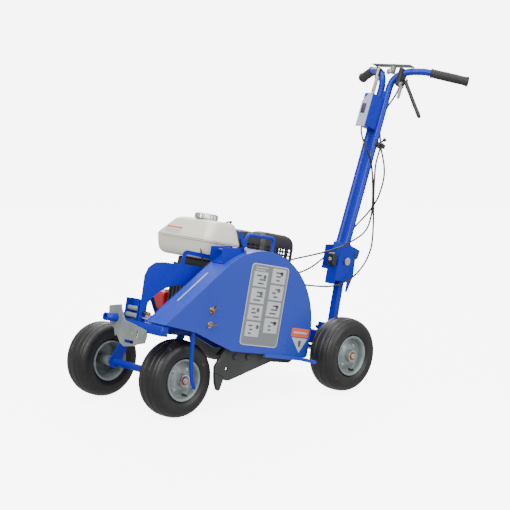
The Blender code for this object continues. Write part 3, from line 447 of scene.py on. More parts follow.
def cut(piece, cutters):
    """Take the cutters, given as bmeshes in the piece's own world axes, out of the piece for good."""
    whole = merged(cutters)
    bmesh.ops.recalc_face_normals(whole, faces=whole.faces)
    mesh = bpy.data.meshes.new("cutter")
    whole.to_mesh(mesh)
    whole.free()
    tool = bpy.data.objects.new("cutter", mesh)
    bpy.context.scene.collection.objects.link(tool)
    modifier = piece.modifiers.new("cut", "BOOLEAN")
    modifier.operation = "DIFFERENCE"
    modifier.solver = "EXACT"
    modifier.object = tool
    piece.modifiers.move(len(piece.modifiers) - 1, 0)
    bpy.context.view_layer.update()
    evaluated = piece.evaluated_get(bpy.context.evaluated_depsgraph_get())
    result = bpy.data.meshes.new_from_object(evaluated)
    piece.modifiers.clear()
    piece.data = result
    bpy.data.objects.remove(tool)
    result.shade_smooth()
    result.set_sharp_from_angle(angle=SMOOTH_ANGLE)


def refine(node, material, bevel):
    """A CAD node's own shape with flat faces joined and its edges rounded."""
    source = frame["nodes"][node]
    bm = bmesh.new()
    bm.from_mesh(source.data)
    bmesh.ops.remove_doubles(bm, verts=bm.verts[:], dist=1e-6)
    bmesh.ops.dissolve_limit(
        bm, angle_limit=math.radians(1.0), verts=bm.verts[:], edges=bm.edges[:],
        use_dissolve_boundaries=False
    )
    piece = put(
        node + "_finished", bm, material, source["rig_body"], nodes=(node,), slot=SLOTS[node], bevel=bevel
    )
    return piece


SLOTS = {entry["node"]: entry["material_slot"] for entry in frame["record"]["subparts"]}


# ---------------------------------------------------------------- camera and cables

CAMERA_PLACE = (3.594, -2.967, 1.294)
CAMERA_AIM = (0.159, 0.4, 0.488)
CAMERA_LENS = 99.8
CABLE_DIAMETER = 0.0066

THROTTLE_ROUTE = [
    (0.24, 0.857, 0.914), (0.243, 0.85, 0.897), (0.262, 0.836, 0.872), (0.282, 0.833, 0.842),
    (0.289, 0.843, 0.808), (0.29, 0.856, 0.769), (0.29, 0.863, 0.697), (0.29, 0.862, 0.625),
    (0.29, 0.854, 0.587), (0.29, 0.838, 0.554), (0.29, 0.807, 0.53), (0.29, 0.757, 0.513),
    (0.288, 0.696, 0.497), (0.255, 0.652, 0.481), (0.21, 0.615, 0.466), (0.165, 0.58, 0.452),
    (0.135, 0.545, 0.438), (0.128, 0.505, 0.426), (0.107, 0.465, 0.422), (0.06, 0.41, 0.429),
]
CLUTCH_ROUTE = [
    (0.292, 0.998, 1.0465), (0.284, 0.994, 1.026), (0.268, 0.987, 0.999), (0.252, 0.976, 0.969),
    (0.248, 0.959, 0.927), (0.252, 0.943, 0.892), (0.266, 0.928, 0.866), (0.28, 0.914, 0.842),
    (0.282, 0.902, 0.815), (0.29, 0.88, 0.785), (0.299, 0.863, 0.75),
    (0.3, 0.858, 0.687), (0.3, 0.857, 0.626), (0.3, 0.857, 0.561), (0.3, 0.853, 0.508),
    (0.299, 0.843, 0.468), (0.297, 0.814, 0.424), (0.294, 0.764, 0.386), (0.288, 0.715, 0.368),
    (0.284, 0.686, 0.362), (0.266, 0.656, 0.358), (0.23, 0.632, 0.358), (0.195, 0.61, 0.36),
    (0.165, 0.58, 0.362), (0.148, 0.53, 0.358), (0.141, 0.45, 0.345), (0.14, 0.33, 0.33),
]
STOP_ROUTE = [
    (0.264, 0.935, 0.829), (0.27, 0.938, 0.8), (0.275, 0.941, 0.768), (0.275, 0.942, 0.73),
    (0.268, 0.937, 0.686), (0.252, 0.93, 0.64), (0.226, 0.914, 0.594), (0.2, 0.88, 0.548),
    (0.187, 0.828, 0.505), (0.182, 0.77, 0.467), (0.177, 0.722, 0.439), (0.168, 0.67, 0.412),
    (0.15, 0.622, 0.396), (0.128, 0.575, 0.392), (0.108, 0.535, 0.4),
]


def add_camera():
    place = MACHINE @ Vector(CAMERA_PLACE)
    aim = MACHINE @ Vector(CAMERA_AIM)
    camera = bpy.data.cameras.new("camera")
    camera.lens = CAMERA_LENS
    camera.sensor_width = 36
    camera.clip_end = 50
    view = bpy.data.objects.new("camera", camera)
    view.location = place
    view.rotation_euler = (aim - place).to_track_quat("-Z", "Y").to_euler()
    bpy.context.scene.collection.objects.link(view)
    bpy.context.scene.camera = view


def add_cable(node, points):
    """A control cable along its route, baked into world space; it rides on no body."""
    route = [MACHINE @ Vector(p) for p in spline(points, 110)]
    bm = swept(route, CABLE_DIAMETER / 2, 12)
    cable = put(node + "_sheath", bm, "sheath", None, nodes=(node,))
    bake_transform(cable)


def build_cables():
    add_cable("throttle_cable", THROTTLE_ROUTE)
    add_cable("clutch_cable", CLUTCH_ROUTE)
    add_cable("stop_cable", STOP_ROUTE)


# ---------------------------------------------------------------- wheels

TYRE_HALF = 0.052
TYRE_OUTER = 0.1295
BEAD = 0.066


def tyre_profile():
    """Round-shouldered section with bead, sidewall ring and rain grooves, then back inside."""
    mid = 0.0985
    outside = []
    count = 72
    for i in range(count + 1):
        q = math.radians(-38 + 256 * i / count)
        power = 2 / 2.45
        x = math.copysign(abs(math.cos(q)) ** power, math.cos(q)) * TYRE_HALF
        height = TYRE_OUTER - mid if math.sin(q) > 0 else mid - BEAD + 0.006
        r = mid + math.copysign(abs(math.sin(q)) ** power, math.sin(q)) * height
        if r > 0.112:
            for groove in (-0.034, -0.013, 0.013, 0.034):
                r -= 0.0022 * math.exp(-(((x - groove) / 0.0013) ** 2))
        if r < 0.112:
            bump = 0.001 * math.exp(
                -(((r - 0.086) / 0.0012) ** 2)
            ) - 0.0008 * math.exp(-(((r - 0.105) / 0.001) ** 2))
            x += math.copysign(bump, x)
            x = max(-TYRE_HALF, min(TYRE_HALF, x))
        outside.append((x, r))
    inside = []
    for i in range(13):
        q = math.radians(200 - 220 * i / 12)
        inside.append((0.04 * math.cos(q), mid + 0.022 * math.sin(q)))
    return outside + inside


def rim_profile(side):
    """The pressed disc, its barrel and both rolled flanges; side is +1 or -1 for the open face."""
    face = [
        (0.0462, 0.07), (0.047, 0.069), (0.047, 0.0655), (0.0455, 0.063), (0.042, 0.0612),
        (0.034, 0.0602), (0.025, 0.059), (0.0225, 0.0565), (0.022, 0.052), (0.025, 0.044),
        (0.03, 0.036), (0.033, 0.029), (0.0335, 0.024), (0.034, 0.0215),
    ]
    hub = [
        (0.048, 0.0205), (0.049, 0.0195), (0.049, 0.015), (0.046, 0.0145), (0.046, 0.0102),
        (-0.044, 0.0102), (-0.044, 0.018), (0.018, 0.019), (0.02, 0.03), (0.014, 0.044),
        (0.011, 0.054), (0.01, 0.0585), (-0.038, 0.06), (-0.044, 0.062), (-0.047, 0.065),
        (-0.047, 0.069), (-0.0462, 0.07), (-0.04, 0.07), (-0.0395, 0.065), (-0.036, 0.0632),
        (0.036, 0.0632), (0.0395, 0.065), (0.04, 0.07),
    ]
    return [(side * x, r) for x, r in face + hub]


def build_wheel(name, body, side):
    spot = centre(name + "_rim")
    axes = Matrix.Translation(spot)
    put(name + "_tyre_moulded", turned(tyre_profile(), 120), "tyre", body, axes, (name + "_tyre",))
    put(name + "_rim_pressed", turned(rim_profile(side), 72), "rim", body, axes, (name + "_rim",))
    ring = [(0.047, 0.015), (0.047, 0.0214), (0.0505, 0.0206), (0.0505, 0.0158)]
    put(name + "_bearing", turned([(side * x, r) for x, r in ring], 40), "steel", body, axes)
    seal = [(0.046, 0.0103), (0.046, 0.015), (0.0492, 0.0144), (0.0492, 0.0108)]
    put(name + "_seal", turned([(side * x, r) for x, r in seal], 32), "hub_orange", body, axes)
    bolts = []
    for i in range(4):
        angle = 2 * math.pi * (i + 0.5) / 4
        place = (side * 0.0262, 0.0405 * math.cos(angle), 0.0405 * math.sin(angle))
        bolts.append(hex_bolt(place, 0.0048, side * 0.0045))
    put(name + "_rim_bolts", merged(bolts), "steel", body, axes)
    stem = [(0.0, 0.0), (0.0, 0.0035), (0.012, 0.0028), (0.013, 0.0038), (0.02, 0.0036), (0.021, 0.0)]
    valve = turned([(side * x, r) for x, r in stem], 14, (side * 0.0235, 0.012, -0.053))
    put(name + "_valve", valve, "black", body, axes)
    mark = turned(
        [
            (0.0, 0.0), (0.0, 0.0058), (side * 0.0006, 0.0054), (side * 0.0006, 0.0034),
            (side * 0.0002, 0.0)
        ],
        20
    )
    mark.transform(Matrix.Translation((side * 0.0514, 0.0, -0.0985)))
    mark.transform(Matrix.Rotation(math.radians(62), 4, "X"))
    put(name + "_mould_mark", mark, "tyre", body, axes)


def build_wheels():
    build_wheel("front_left", "front_left_wheel", 1)
    build_wheel("front_right", "front_right_wheel", -1)
    build_wheel("rear_left", "rear_left_wheel", 1)
    build_wheel("rear_right", "rear_right_wheel", -1)


# ---------------------------------------------------------------- frame and front fittings

HOUSING_CENTRE = (-0.381, 0.04)
HOUSING_RADIUS = 0.27
HOUSING_NOSE = (-0.793, 0.0255)
HOUSING_INNER = (0.192, 0.197)
HOUSING_OUTER = (0.28, 0.285)
RAIL_BOTTOM = -0.044
RAIL_HEIGHT = 0.012
LABEL_FACE = HOUSING_OUTER[1] + 0.0001
FILM = 0.0002
BOX_LAYER = (0.2857, 0.2859)
HEADING_LAYER = (0.2857, 0.2858)
MARK_LAYER = (0.286, 0.2861)
DECK_TOP = 0.02


def build_frame():
    refine("deck_frame", "blue", 0.0012)
    refine("rear_crossmember", "blue", 0.0015)
    refine("engine_side_guard", "blue", 0.0006)
    refine("front_bracket", "zinc", 0.0011)
    refine("feed_bracket", "blue", 0.0006)
    refine("front_arm", "blue", 0.0014)
    beam = refine("front_crossmember", "blue", 0.0012)
    mouth = turned([(-0.09, 0.0), (-0.09, 0.0098), (0.03, 0.0098), (0.03, 0.0)], 32, (0, 0, 0), "Y")
    mouth.transform(CHASSIS @ Matrix.Translation((0.058, -0.852, 0.0155)))
    cut(beam, [mouth])
    refine("rear_post", "blue", 0.001)
    for node, material in (("rear_axle", "steel"), ("front_axle", "steel")):
        low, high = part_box(node)
        radius = (high.z - low.z) / 2
        rod = [
            (low.x, 0), (low.x, radius - 0.0012), (low.x + 0.0012, radius), (high.x - 0.0012, radius),
            (high.x, radius - 0.0012), (high.x, 0),
        ]
        middle = (low + high) / 2
        put(
            node + "_rod", turned(rod, 40, (0, middle.y, middle.z)), material, SLOT_BODY[node],
            nodes=(node,), slot="bright_steel"
        )
    build_fasteners()
    build_rollers()


SLOT_BODY = {
    node: body for body, nodes in frame["record"]["behaviour"]["bodies"].items() for node in nodes
}


def build_fasteners():
    """Bolts through the deck and the side guard."""
    heads = []
    for x in (-0.15, 0.075):
        for u in (-0.53, -0.12):
            heads.append(hex_bolt((x, u, DECK_TOP), 0.0065, 0.006, "Z"))
    for x in (-0.085, 0.058):
        for u in (-0.447, -0.233):
            heads.append(hex_bolt((x, u, 0.052), 0.006, 0.006, "Z"))
    on_chassis("deck_bolts", merged(heads), "steel")
    guard = [hex_bolt((0.163, u, w), 0.0052, 0.005) for u, w in ((-0.42, 0.034), (-0.42, 0.17))]
    on_chassis("guard_bolts", merged(guard), "steel")


def roller_profile(x0, x1, radius):
    return [
        (x0, 0), (x0, radius - 0.001), (x0 + 0.001, radius), (x1 - 0.001, radius), (x1, radius - 0.001),
        (x1, 0)
    ]


def build_rollers():
    """The lower feed roller turns; the upper one and both axle ends are seen beside it."""
    low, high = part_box("feed_roller")
    middle = (low + high) / 2
    waist = [
        (low.x, 0), (low.x, 0.0088), (low.x + 0.001, 0.0094), (low.x + 0.014, 0.009), (middle.x, 0.0078),
        (high.x - 0.014, 0.009), (high.x - 0.001, 0.0094), (high.x, 0.0088), (high.x, 0),
    ]
    put(
        "feed_roller_turned", turned(waist, 40, (0, middle.y, middle.z)), "zinc", "feed_wheel",
        nodes=("feed_roller",)
    )
    rods = [
        ("upper_roller", 0.0895, 0.1475, 0.0078, (-0.785, 0.0565), "zinc"),
        ("upper_rod", 0.163, 0.195, 0.0056, (-0.784, 0.049), "yellow_zinc"),
        ("lower_rod", 0.163, 0.193, 0.0052, (-0.786, 0.032), "steel"),
    ]
    for name, x0, x1, radius, (u, w), material in rods:
        bm = turned(roller_profile(x0, x1, radius), 28, (0, u, w))
        on_chassis(name, bm, material, slot="galvanised")


# ---------------------------------------------------------------- housing

def housing_top(shrink=0.0, steps=72):
    """The nose point, then the round top from where the nose's slope touches it to the rear."""
    centre_at = HOUSING_CENTRE
    away = (HOUSING_NOSE[0] - centre_at[0], HOUSING_NOSE[1] - centre_at[1])
    reach = math.hypot(*away)
    start = math.degrees(math.atan2(away[1], away[0]) % (2 * math.pi) - math.acos(HOUSING_RADIUS / reach))
    slope = math.radians(start)
    nose = (HOUSING_NOSE[0] - shrink * math.cos(slope), HOUSING_NOSE[1] - shrink * math.sin(slope))
    return [nose] + arc(centre_at, HOUSING_RADIUS - shrink, start, 0, steps)


def build_housing():
    rear = HOUSING_CENTRE[0] + HOUSING_RADIUS
    side = housing_top() + [
        (rear, -0.026), (rear - 0.008, -0.033), (-0.475, -0.036), (-0.488, -0.034), (-0.651, 0.012)
    ]
    outer = plate(side, *HOUSING_OUTER)
    rail = rounded(
        [
            (0.2855, -0.33), (0.297, -0.33), (0.297, -0.157), (0.362, -0.157), (0.362, -0.142),
            (0.2855, -0.142)
        ],
        0.003
    )
    foot = prism([(x, u, RAIL_BOTTOM) for x, u in rail], (0, 0, RAIL_HEIGHT))
    # The outer sheet uses the lighter blue, a painted highlight of the same blue paint.
    on_chassis(
        "housing_outer_sheet", merged([outer, foot]), "blue_painted_highlight", ("housing_outer_plate",),
        bevel=0.0009
    )
    inner = housing_top()
    inner[0] = (inner[0][0], 0.0262)
    inner_side = inner + [(rear, -0.033), (-0.483, -0.036), (-0.651, 0.0203)]
    on_chassis(
        "housing_inner_sheet", plate(inner_side, *HOUSING_INNER), "blue", ("housing_inner_plate",),
        bevel=0.0008
    )
    outside = housing_top() + [(rear, -0.033)]
    inside = housing_top(0.003) + [(rear - 0.003, -0.033)]
    # The cover strip uses the lighter blue, a painted highlight of the same blue paint.
    on_chassis(
        "housing_cover_sheet", plate(outside + inside[::-1], 0.1973, 0.2797), "blue_painted_highlight",
        ("housing_cover",), bevel=0.0006
    )
    route = spline(
        [
            (0, -0.462, 0.3025), (0, -0.462, 0.32), (0, -0.462, 0.338), (0, -0.4585, 0.349),
            (0, -0.447, 0.354), (0, -0.4, 0.3555), (0, -0.348, 0.357), (0, -0.3355, 0.3535),
            (0, -0.3305, 0.342), (0, -0.33, 0.325), (0, -0.33, 0.3065)
        ],
        60
    )
    shift = CHASSIS @ Matrix.Translation((0.245, 0, 0))
    put("housing_lift_loop", swept(route, 0.0058, 20), "blue", "chassis", shift, ("housing_handle",))
    beads = []
    for u, w in ((-0.462, 0.299), (-0.33, 0.3065)):
        beads.append(
            turned(
                [(0, 0.004), (0, 0.0092), (0.0022, 0.0072), (0.0034, 0.006), (0.0034, 0.004)], 24,
                (0.245, u, w), "Z"
            )
        )
    on_chassis("lift_loop_welds", merged(beads), "blue")
    build_feed_guide()
    build_wing_bolts()
    build_panel()
    build_caution_mark()
    build_cover_stripe()
    build_weld_seams()


def build_weld_seams():
    """A stitched weld along the joint of the cover strip and the outer sheet."""
    seam = []
    top = housing_top(0.0015, 24)
    for i in range(2, len(top) - 2, 3):
        a, b = Vector((0.28, *top[i])), Vector((0.28, *top[i + 1]))
        seam.append(
            swept(
                [a.lerp(b, t) for t in (0, 0.25, 0.5, 0.75, 1)], [0.0008, 0.0014, 0.0015, 0.0014, 0.0008],
                8
            )
        )
    on_chassis("housing_weld_seam", merged(seam), "blue")
    lug = plate(
        rounded([(-0.645, 0.126), (-0.627, 0.146), (-0.615, 0.135), (-0.633, 0.115)], 0.004), 0.2755,
        0.2795
    )
    put("cover_latch", lug, "blue", "chassis", CHASSIS @ Matrix.Translation((-0.0725, 0.0035, 0.004)))


def build_feed_guide():
    refine("top_feed_guide", "blue", 0.0005)
    refine("release_lever", "blue", 0.0009)
    rod = turned(roller_profile(0.2035, 0.2545, 0.0045), 24, (0, -0.54, 0.29))
    # The rod uses the lighter blue, a painted highlight of the same blue paint.
    on_chassis("feed_guide_rod", rod, "blue_painted_highlight")
    tab = box((0.232, -0.5045, 0.2905), (0.248, -0.4995, 0.306), 0.0012)
    # The pale lilac on this tab is a painted highlight on blue sheet.
    on_chassis("feed_guide_tab", tab, "lilac_painted_highlight")
    screw = hex_bolt((0.2667, -0.478, 0.3045), 0.0058, 0.005)
    put("release_lever_screw", screw, "steel", "feed_release", CHASSIS)


def wing_nut(place, lean):
    """Two flat wings on a round boss, leaning from the upright by an angle."""
    boss = turned([(0, 0), (0, 0.0075), (0.006, 0.0066), (0.01, 0.0048), (0.01, 0)], 24)
    wings = []
    for side in (1, -1):
        shape = rounded(
            [
                (side * 0.003, 0.003), (side * 0.015, 0.0075), (side * 0.0175, 0.0155),
                (side * 0.0135, 0.017), (side * 0.002, 0.0105)
            ],
            0.004
        )
        wing = plate([(a, b) for a, b in shape], -0.0012, 0.0012)
        wing.transform(Matrix(((0, 0, 1, 0), (0, 1, 0, 0), (1, 0, 0, 0), (0, 0, 0, 1))))
        wings.append(wing)
    whole = merged([boss] + wings)
    whole.transform(Matrix.Translation(place) @ Matrix.Rotation(lean, 4, "X"))
    return whole


def build_wing_bolts():
    for name, u, w, lean in (("upper", -0.602, 0.092, 1.25), ("lower", -0.6, 0.043, 0.35)):
        on_chassis("wing_bolt_" + name, wing_nut((0.2853, u, w), lean), "yellow_zinc")
        washer = turned(
            [(0.285, 0.004), (0.285, 0.0105), (0.2862, 0.0105), (0.2862, 0.004)], 28, (0, u, w)
        )
        on_chassis("wing_washer_" + name, washer, "steel")


def film(name, outline, material, lift):
    """A thin label lying on the outer sheet."""
    return on_chassis(
        name, plate(outline, LABEL_FACE + lift, LABEL_FACE + lift + FILM), material, slot="blue_paint"
    )


def rectangle(u0, w0, u1, w1, inset=0.0):
    """The corners of a rectangle, drawn in by an inset."""
    return [
        (u0 + inset, w0 + inset), (u1 - inset, w0 + inset), (u1 - inset, w1 - inset),
        (u0 + inset, w1 - inset)
    ]


def build_panel():
    """A generic instruction panel with eight boxes of plain bars and rings, without words."""
    u0, w0, u1, w1 = -0.453, -0.01, -0.272, 0.266
    film("panel_border", rounded(rectangle(u0, w0, u1, w1), 0.016), "label_white", 0.0)
    film("panel_ground", rounded(rectangle(u0, w0, u1, w1, 0.0035), 0.013), "label_grey", 0.0003)
    random.seed(4)
    boxes, marks = [], []
    wide, tall = 0.066, 0.05
    for column, base in ((0, 0.0), (1, 0.018)):
        for row in range(4):
            left = u0 + 0.016 + column * 0.085
            bottom = w0 + 0.03 + base + row * 0.0565
            boxes.append(plate(rectangle(left, bottom, left + wide, bottom + tall), *BOX_LAYER))
            for k in range(3):
                a = left + 0.01 + random.random() * 0.02
                b = bottom + 0.008 + k * 0.013
                length = 0.012 + random.random() * 0.022
                marks.append(plate(rounded(rectangle(a, b, a + length, b + 0.0055), 0.002), *MARK_LAYER))
            ring = (left + 0.044 + random.random() * 0.012, bottom + 0.034)
            marks.append(plate(arc(ring, 0.0075, 0, 345, 16), *MARK_LAYER))
    on_chassis("panel_boxes", merged(boxes), "label_white")
    on_chassis("panel_marks", merged(marks), "label_ink", smooth=False)
    heading = []
    for k, (start, end) in enumerate(((0.02, 0.078), (0.02, 0.066), (0.02, 0.072))):
        w = w1 - 0.014 - k * 0.0085
        heading.append(plate(rectangle(u0 + start, w, u0 + end, w + 0.0032), *HEADING_LAYER))
    on_chassis("panel_heading_bars", merged(heading), "label_white", smooth=False)


def build_caution_mark():
    """A plain bar over a plain triangle."""
    film("caution_bar", rounded(rectangle(-0.209, 0.036, -0.122, 0.066), 0.004), "label_orange", 0.0)
    film("caution_bar_stripe", rectangle(-0.199, 0.048, -0.132, 0.0545), "label_white", 0.0003)
    film("caution_triangle", [(-0.205, 0.033), (-0.158, -0.018), (-0.124, 0.033)], "label_white", 0.0)
    film(
        "caution_mark",
        rounded([(-0.171, 0.024), (-0.154, 0.024), (-0.157, 0.002), (-0.166, 0.002)], 0.003), "label_ink",
        0.0003
    )


def build_cover_stripe():
    """A pale stripe along the slope of the cover strip."""
    slope = housing_top()
    a, b = Vector(slope[0]), Vector(slope[1])
    along = (b - a).normalized()
    out = Vector((-along.y, along.x))
    corners = []
    for s, x in ((0.37, 0.2275), (0.86, 0.2275), (0.86, 0.233), (0.37, 0.233)):
        spot = a.lerp(b, s) + out * (FILM + 0.0001)
        corners.append((x, spot.x, spot.y))
    stripe = prism(corners, Vector((0, out.x, out.y)) * FILM)
    on_chassis("cover_pinstripe", stripe, "label_white", smooth=False)


def build_ground_tools():
    refine("trench_shoe", "dark_steel", 0.0012)
    refine("shoe_point", "dark_steel", 0.0015)
    refine("cutter_rotor", "dark_steel", 0.0008)
    plug = hex_bolt((0.2623, -0.44, -0.055), 0.0085, 0.006)
    second = hex_bolt((0.2623, -0.38, -0.052), 0.0085, 0.006)
    on_chassis("shoe_bolts", merged([plug, second]), "dark_steel")
    top = Vector((0.272, -0.657, 0.02))
    points = [
        (0, 0, 0.018), (0, 0.0005, 0.0), (0, 0.004, -0.03), (0, 0.01, -0.075), (0, 0.018, -0.12),
        (0, 0.032, -0.165), (0, 0.05, -0.192)
    ]
    route = [top + p for p in spline(points, 30)]
    radii = [0.007] * 28 + [0.0062, 0.003]
    put("pointer_rod", swept(route, radii, 20), "blue", "pointer", CHASSIS, ("guide_pointer",))


# ---------------------------------------------------------------- drive

def build_drive():
    for node, material in (
        ("driven_pulley", "cast"), ("drive_pulley", "cast"), ("idler_pulley", "cast"),
        ("idler_arm", "steel"), ("rotor_shaft", "steel"), ("crankshaft", "steel"),
        ("bearing_inner", "cast"), ("bearing_outer", "cast"), ("drive_belt", "belt"),
        ("pivot_bolt", "steel")
    ):
        refine(node, material, 0.0006)
    coil = []
    turns, radius = 14, 0.0052
    start, end = Vector((0.1445, -0.424, 0.1)), Vector((0.1445, -0.436, 0.16))
    for i in range(turns * 14 + 1):
        t = i / (turns * 14)
        angle = 2 * math.pi * turns * t
        axis_point = start.lerp(end, t)
        coil.append(axis_point + Vector((radius * math.cos(angle), radius * math.sin(angle), 0)))
    on_chassis("tensioner_spring", swept(coil, 0.0009, 8), "steel")


# ---------------------------------------------------------------- engine

CRANK = (-0.335, 0.156)


def loft(levels, corner=0.035, steps=7):
    """A closed solid through rounded rectangles, each (w, x0, x1, u0, u1)."""
    bm = bmesh.new()
    rings = []
    for w, x0, x1, u0, u1 in levels:
        reach = min(corner, (x1 - x0) * 0.48, (u1 - u0) * 0.48)
        ring = []
        for cx, cu, start in (
            (x1 - reach, u1 - reach, 0), (x0 + reach, u1 - reach, 90), (x0 + reach, u0 + reach, 180),
            (x1 - reach, u0 + reach, 270)
        ):
            for a, b in arc((cx, cu), reach, start, start + 90, steps):
                ring.append(bm.verts.new((a, b, w)))
        rings.append(ring)
    return skin(bm, rings)


TANK_X = (-0.16, 0.12)
TANK_U = (-0.522, -0.343)
TANK_SLOPE = 0.62
TANK_SLOPE_FROM = 0.3185
CAP_RIBS = 21


def tank_level(w, inset, left=1.0, right=1.0, rear=1.0):
    """One rounded rectangle of the tank at height w, drawn in from the seam's outline."""
    return (
        w, TANK_X[0] + inset * left, TANK_X[1] - inset * right, TANK_U[0] + inset,
        TANK_U[1] - inset * rear
    )


def build_tank():
    """Lower shell, seam flange with a black band over it as painted shade in the crease, and upper shell."""
    lower = (
        (0.2475, 0.03), (0.249, 0.024), (0.253, 0.018), (0.26, 0.012), (0.28, 0.007), (0.306, 0.004),
        (0.3085, 0.0035),
    )
    on_chassis(
        "tank_lower_shell", loft([tank_level(w, inset) for w, inset in lower]), "cream", ("fuel_tank",)
    )
    seam = [(0.3088, 0.0008), (0.3094, 0.0), (0.3116, 0.0), (0.3122, 0.0008)]
    flange = loft([tank_level(w, inset) for w, inset in seam], 0.038)
    on_chassis("tank_seam", flange, "cream")
    # A black band in the crease above the seam flange: painted shade on the cream tank.
    seam_shade = loft([tank_level(w, 0.003) for w in (0.312, 0.3138)], 0.036)
    on_chassis("tank_seam_painted_shade", seam_shade, "black", slot="tank_cream")
    upper = (
        (0.3136, 0.0035), (0.3165, 0.0034), (TANK_SLOPE_FROM, 0.0042), (0.33, 0.0113), (0.345, 0.0206),
        (0.36, 0.0299), (0.37, 0.0361), (0.377, 0.0425), (0.3815, 0.0505), (0.384, 0.06), (0.3846, 0.067),
    )
    on_chassis(
        "tank_upper_shell", loft([tank_level(w, inset, 1.15, 0.7, 0.25) for w, inset in upper]), "cream"
    )
    build_tank_labels()
    build_fuel_cap()
    build_tap_lever()


def build_tank_labels():
    """Two plain bands that lean with the upper shell's front slope."""
    lean = Matrix(
        ((1, 0, 0, 0), (0, 1, TANK_SLOPE, -TANK_SLOPE * TANK_SLOPE_FROM), (0, 0, 1, 0), (0, 0, 0, 1))
    )
    front = TANK_U[0] + 0.0042
    for name, low, high, material in (
        ("orange", 0.339, 0.345, "label_orange"), ("pale", 0.3215, 0.335, "label_white")
    ):
        band = plate(rectangle(-0.108, low, -0.03, high), front - 0.0003, front + 0.002, 1)
        put(
            "tank_label_" + name, band, material, "chassis", CHASSIS @ lean, slot="tank_cream",
            smooth=False
        )


def build_fuel_cap():
    """A ribbed cap with a chamfered top."""
    lobes = []
    for i in range(8 * CAP_RIBS):
        angle = 2 * math.pi * i / (8 * CAP_RIBS)
        lobes.append((0.0412 - 0.0016 * (1 + math.cos(CAP_RIBS * angle)) / 2, angle))
    middle = centre("fuel_cap")
    low, high = -0.0106, 0.0106
    bm = bmesh.new()
    rings = []
    for w, scale in (
        (low, 0.9), (low + 0.001, 1.0), (0.0045, 1.0), (0.0075, 0.95), (high, 0.78), (high, 0.3)
    ):
        rings.append(
            [bm.verts.new((r * scale * math.cos(a), r * scale * math.sin(a), w)) for r, a in lobes]
        )
    skin(bm, rings)
    axes = Matrix.Translation(middle) @ Matrix.Rotation(-PITCH, 4, "X")
    put("fuel_cap_ribbed", bm, "steel", "tank_cap", axes, ("fuel_cap",))


def build_tap_lever():
    """The small dark lever behind the cap."""
    tap = spline([(0.052, -0.386, 0.3835), (0.06, -0.38, 0.3885), (0.072, -0.374, 0.39)], 12)
    radii = [0.0028] * 8 + [0.0034, 0.005, 0.0052, 0.0034]
    on_chassis("tank_tap_lever", swept(tap, radii, 14), "black")


ENGINE_RIBS = [-0.07 + 0.018 * i for i in range(9)]


def build_engine():
    build_crankcase()
    build_cylinder()
    build_engine_front()
    build_tank()
    build_starter()
    build_muffler()
    build_air_cleaner()
    build_carburettor()
    build_wires()


def build_crankcase():
    """The CAD crankcase with a side cover and its ring of bolts."""
    refine("crankcase", "cast", 0.002)
    cover = turned(
        [
            (0.0845, 0.012), (0.0845, 0.062), (0.0905, 0.06), (0.0925, 0.052), (0.0925, 0.03),
            (0.0985, 0.026), (0.0985, 0.012)
        ],
        64, (0, *CRANK)
    )
    on_chassis("crankcase_side_cover", cover, "cast")
    bolts = []
    for i in range(7):
        angle = 2 * math.pi * i / 7 + 0.3
        bolts.append(
            hex_bolt(
                (0.0918, CRANK[0] + 0.056 * math.cos(angle), CRANK[1] + 0.056 * math.sin(angle)), 0.0042,
                0.005
            )
        )
    on_chassis("side_cover_bolts", merged(bolts), "steel")


def build_cylinder():
    """Cooling fins on a core, a valve cover and the oil filler cap."""
    fins = []
    for i in range(10):
        u = -0.2392 + i * 0.0085
        fins.append(box((-0.061, u, 0.1405), (0.027, u + 0.0022, 0.2712), 0.0008, 1))
    core = box((-0.048, -0.2392, 0.152), (0.014, -0.1585, 0.258), 0.008, 3)
    on_chassis("cylinder_fins", merged(fins + [core]), "cast", ("cylinder",))
    head = box((-0.055, -0.161, 0.15), (0.021, -0.149, 0.262), 0.006, 3)
    on_chassis("valve_cover", head, "cast")
    oil = [
        (0, 0), (0, 0.01), (-0.006, 0.01), (-0.008, 0.014), (-0.016, 0.013), (-0.018, 0.01), (-0.018, 0)
    ]
    oil = turned(oil, 28, (0.05, -0.431, 0.085), "Y")
    on_chassis("oil_filler_cap", oil, "black")


def build_engine_front():
    """Dark ribs, the red fan shroud and a brace, seen past the side guard."""
    under = box((-0.088, -0.452, 0.214), (0.088, -0.335, 0.2466), 0.006, 3)
    on_chassis("tank_underside_bracket", under, "black_cast")
    ribs = [box((x, -0.483, 0.06), (x + 0.006, -0.4765, 0.215), 0.001, 1) for x in ENGINE_RIBS]
    ribs.append(box((-0.078, -0.4785, 0.052), (0.082, -0.426, 0.222), 0.004, 2))
    on_chassis("engine_front_ribs", merged(ribs), "black_cast")
    shroud = rounded(
        [
            (-0.474, 0.04), (-0.225, 0.045), (-0.225, 0.235), (-0.395, 0.235), (-0.395, 0.124),
            (-0.492, 0.112)
        ],
        0.016
    )
    on_chassis("fan_shroud", plate(shroud, -0.15, -0.0862), "red", bevel=0.008, segments=3)
    brace = plate([(-0.674, 0.092), (-0.626, 0.0202), (-0.611, 0.0202), (-0.659, 0.098)], 0.054, 0.0575)
    on_chassis("feed_brace", brace, "steel", bevel=0.0006)


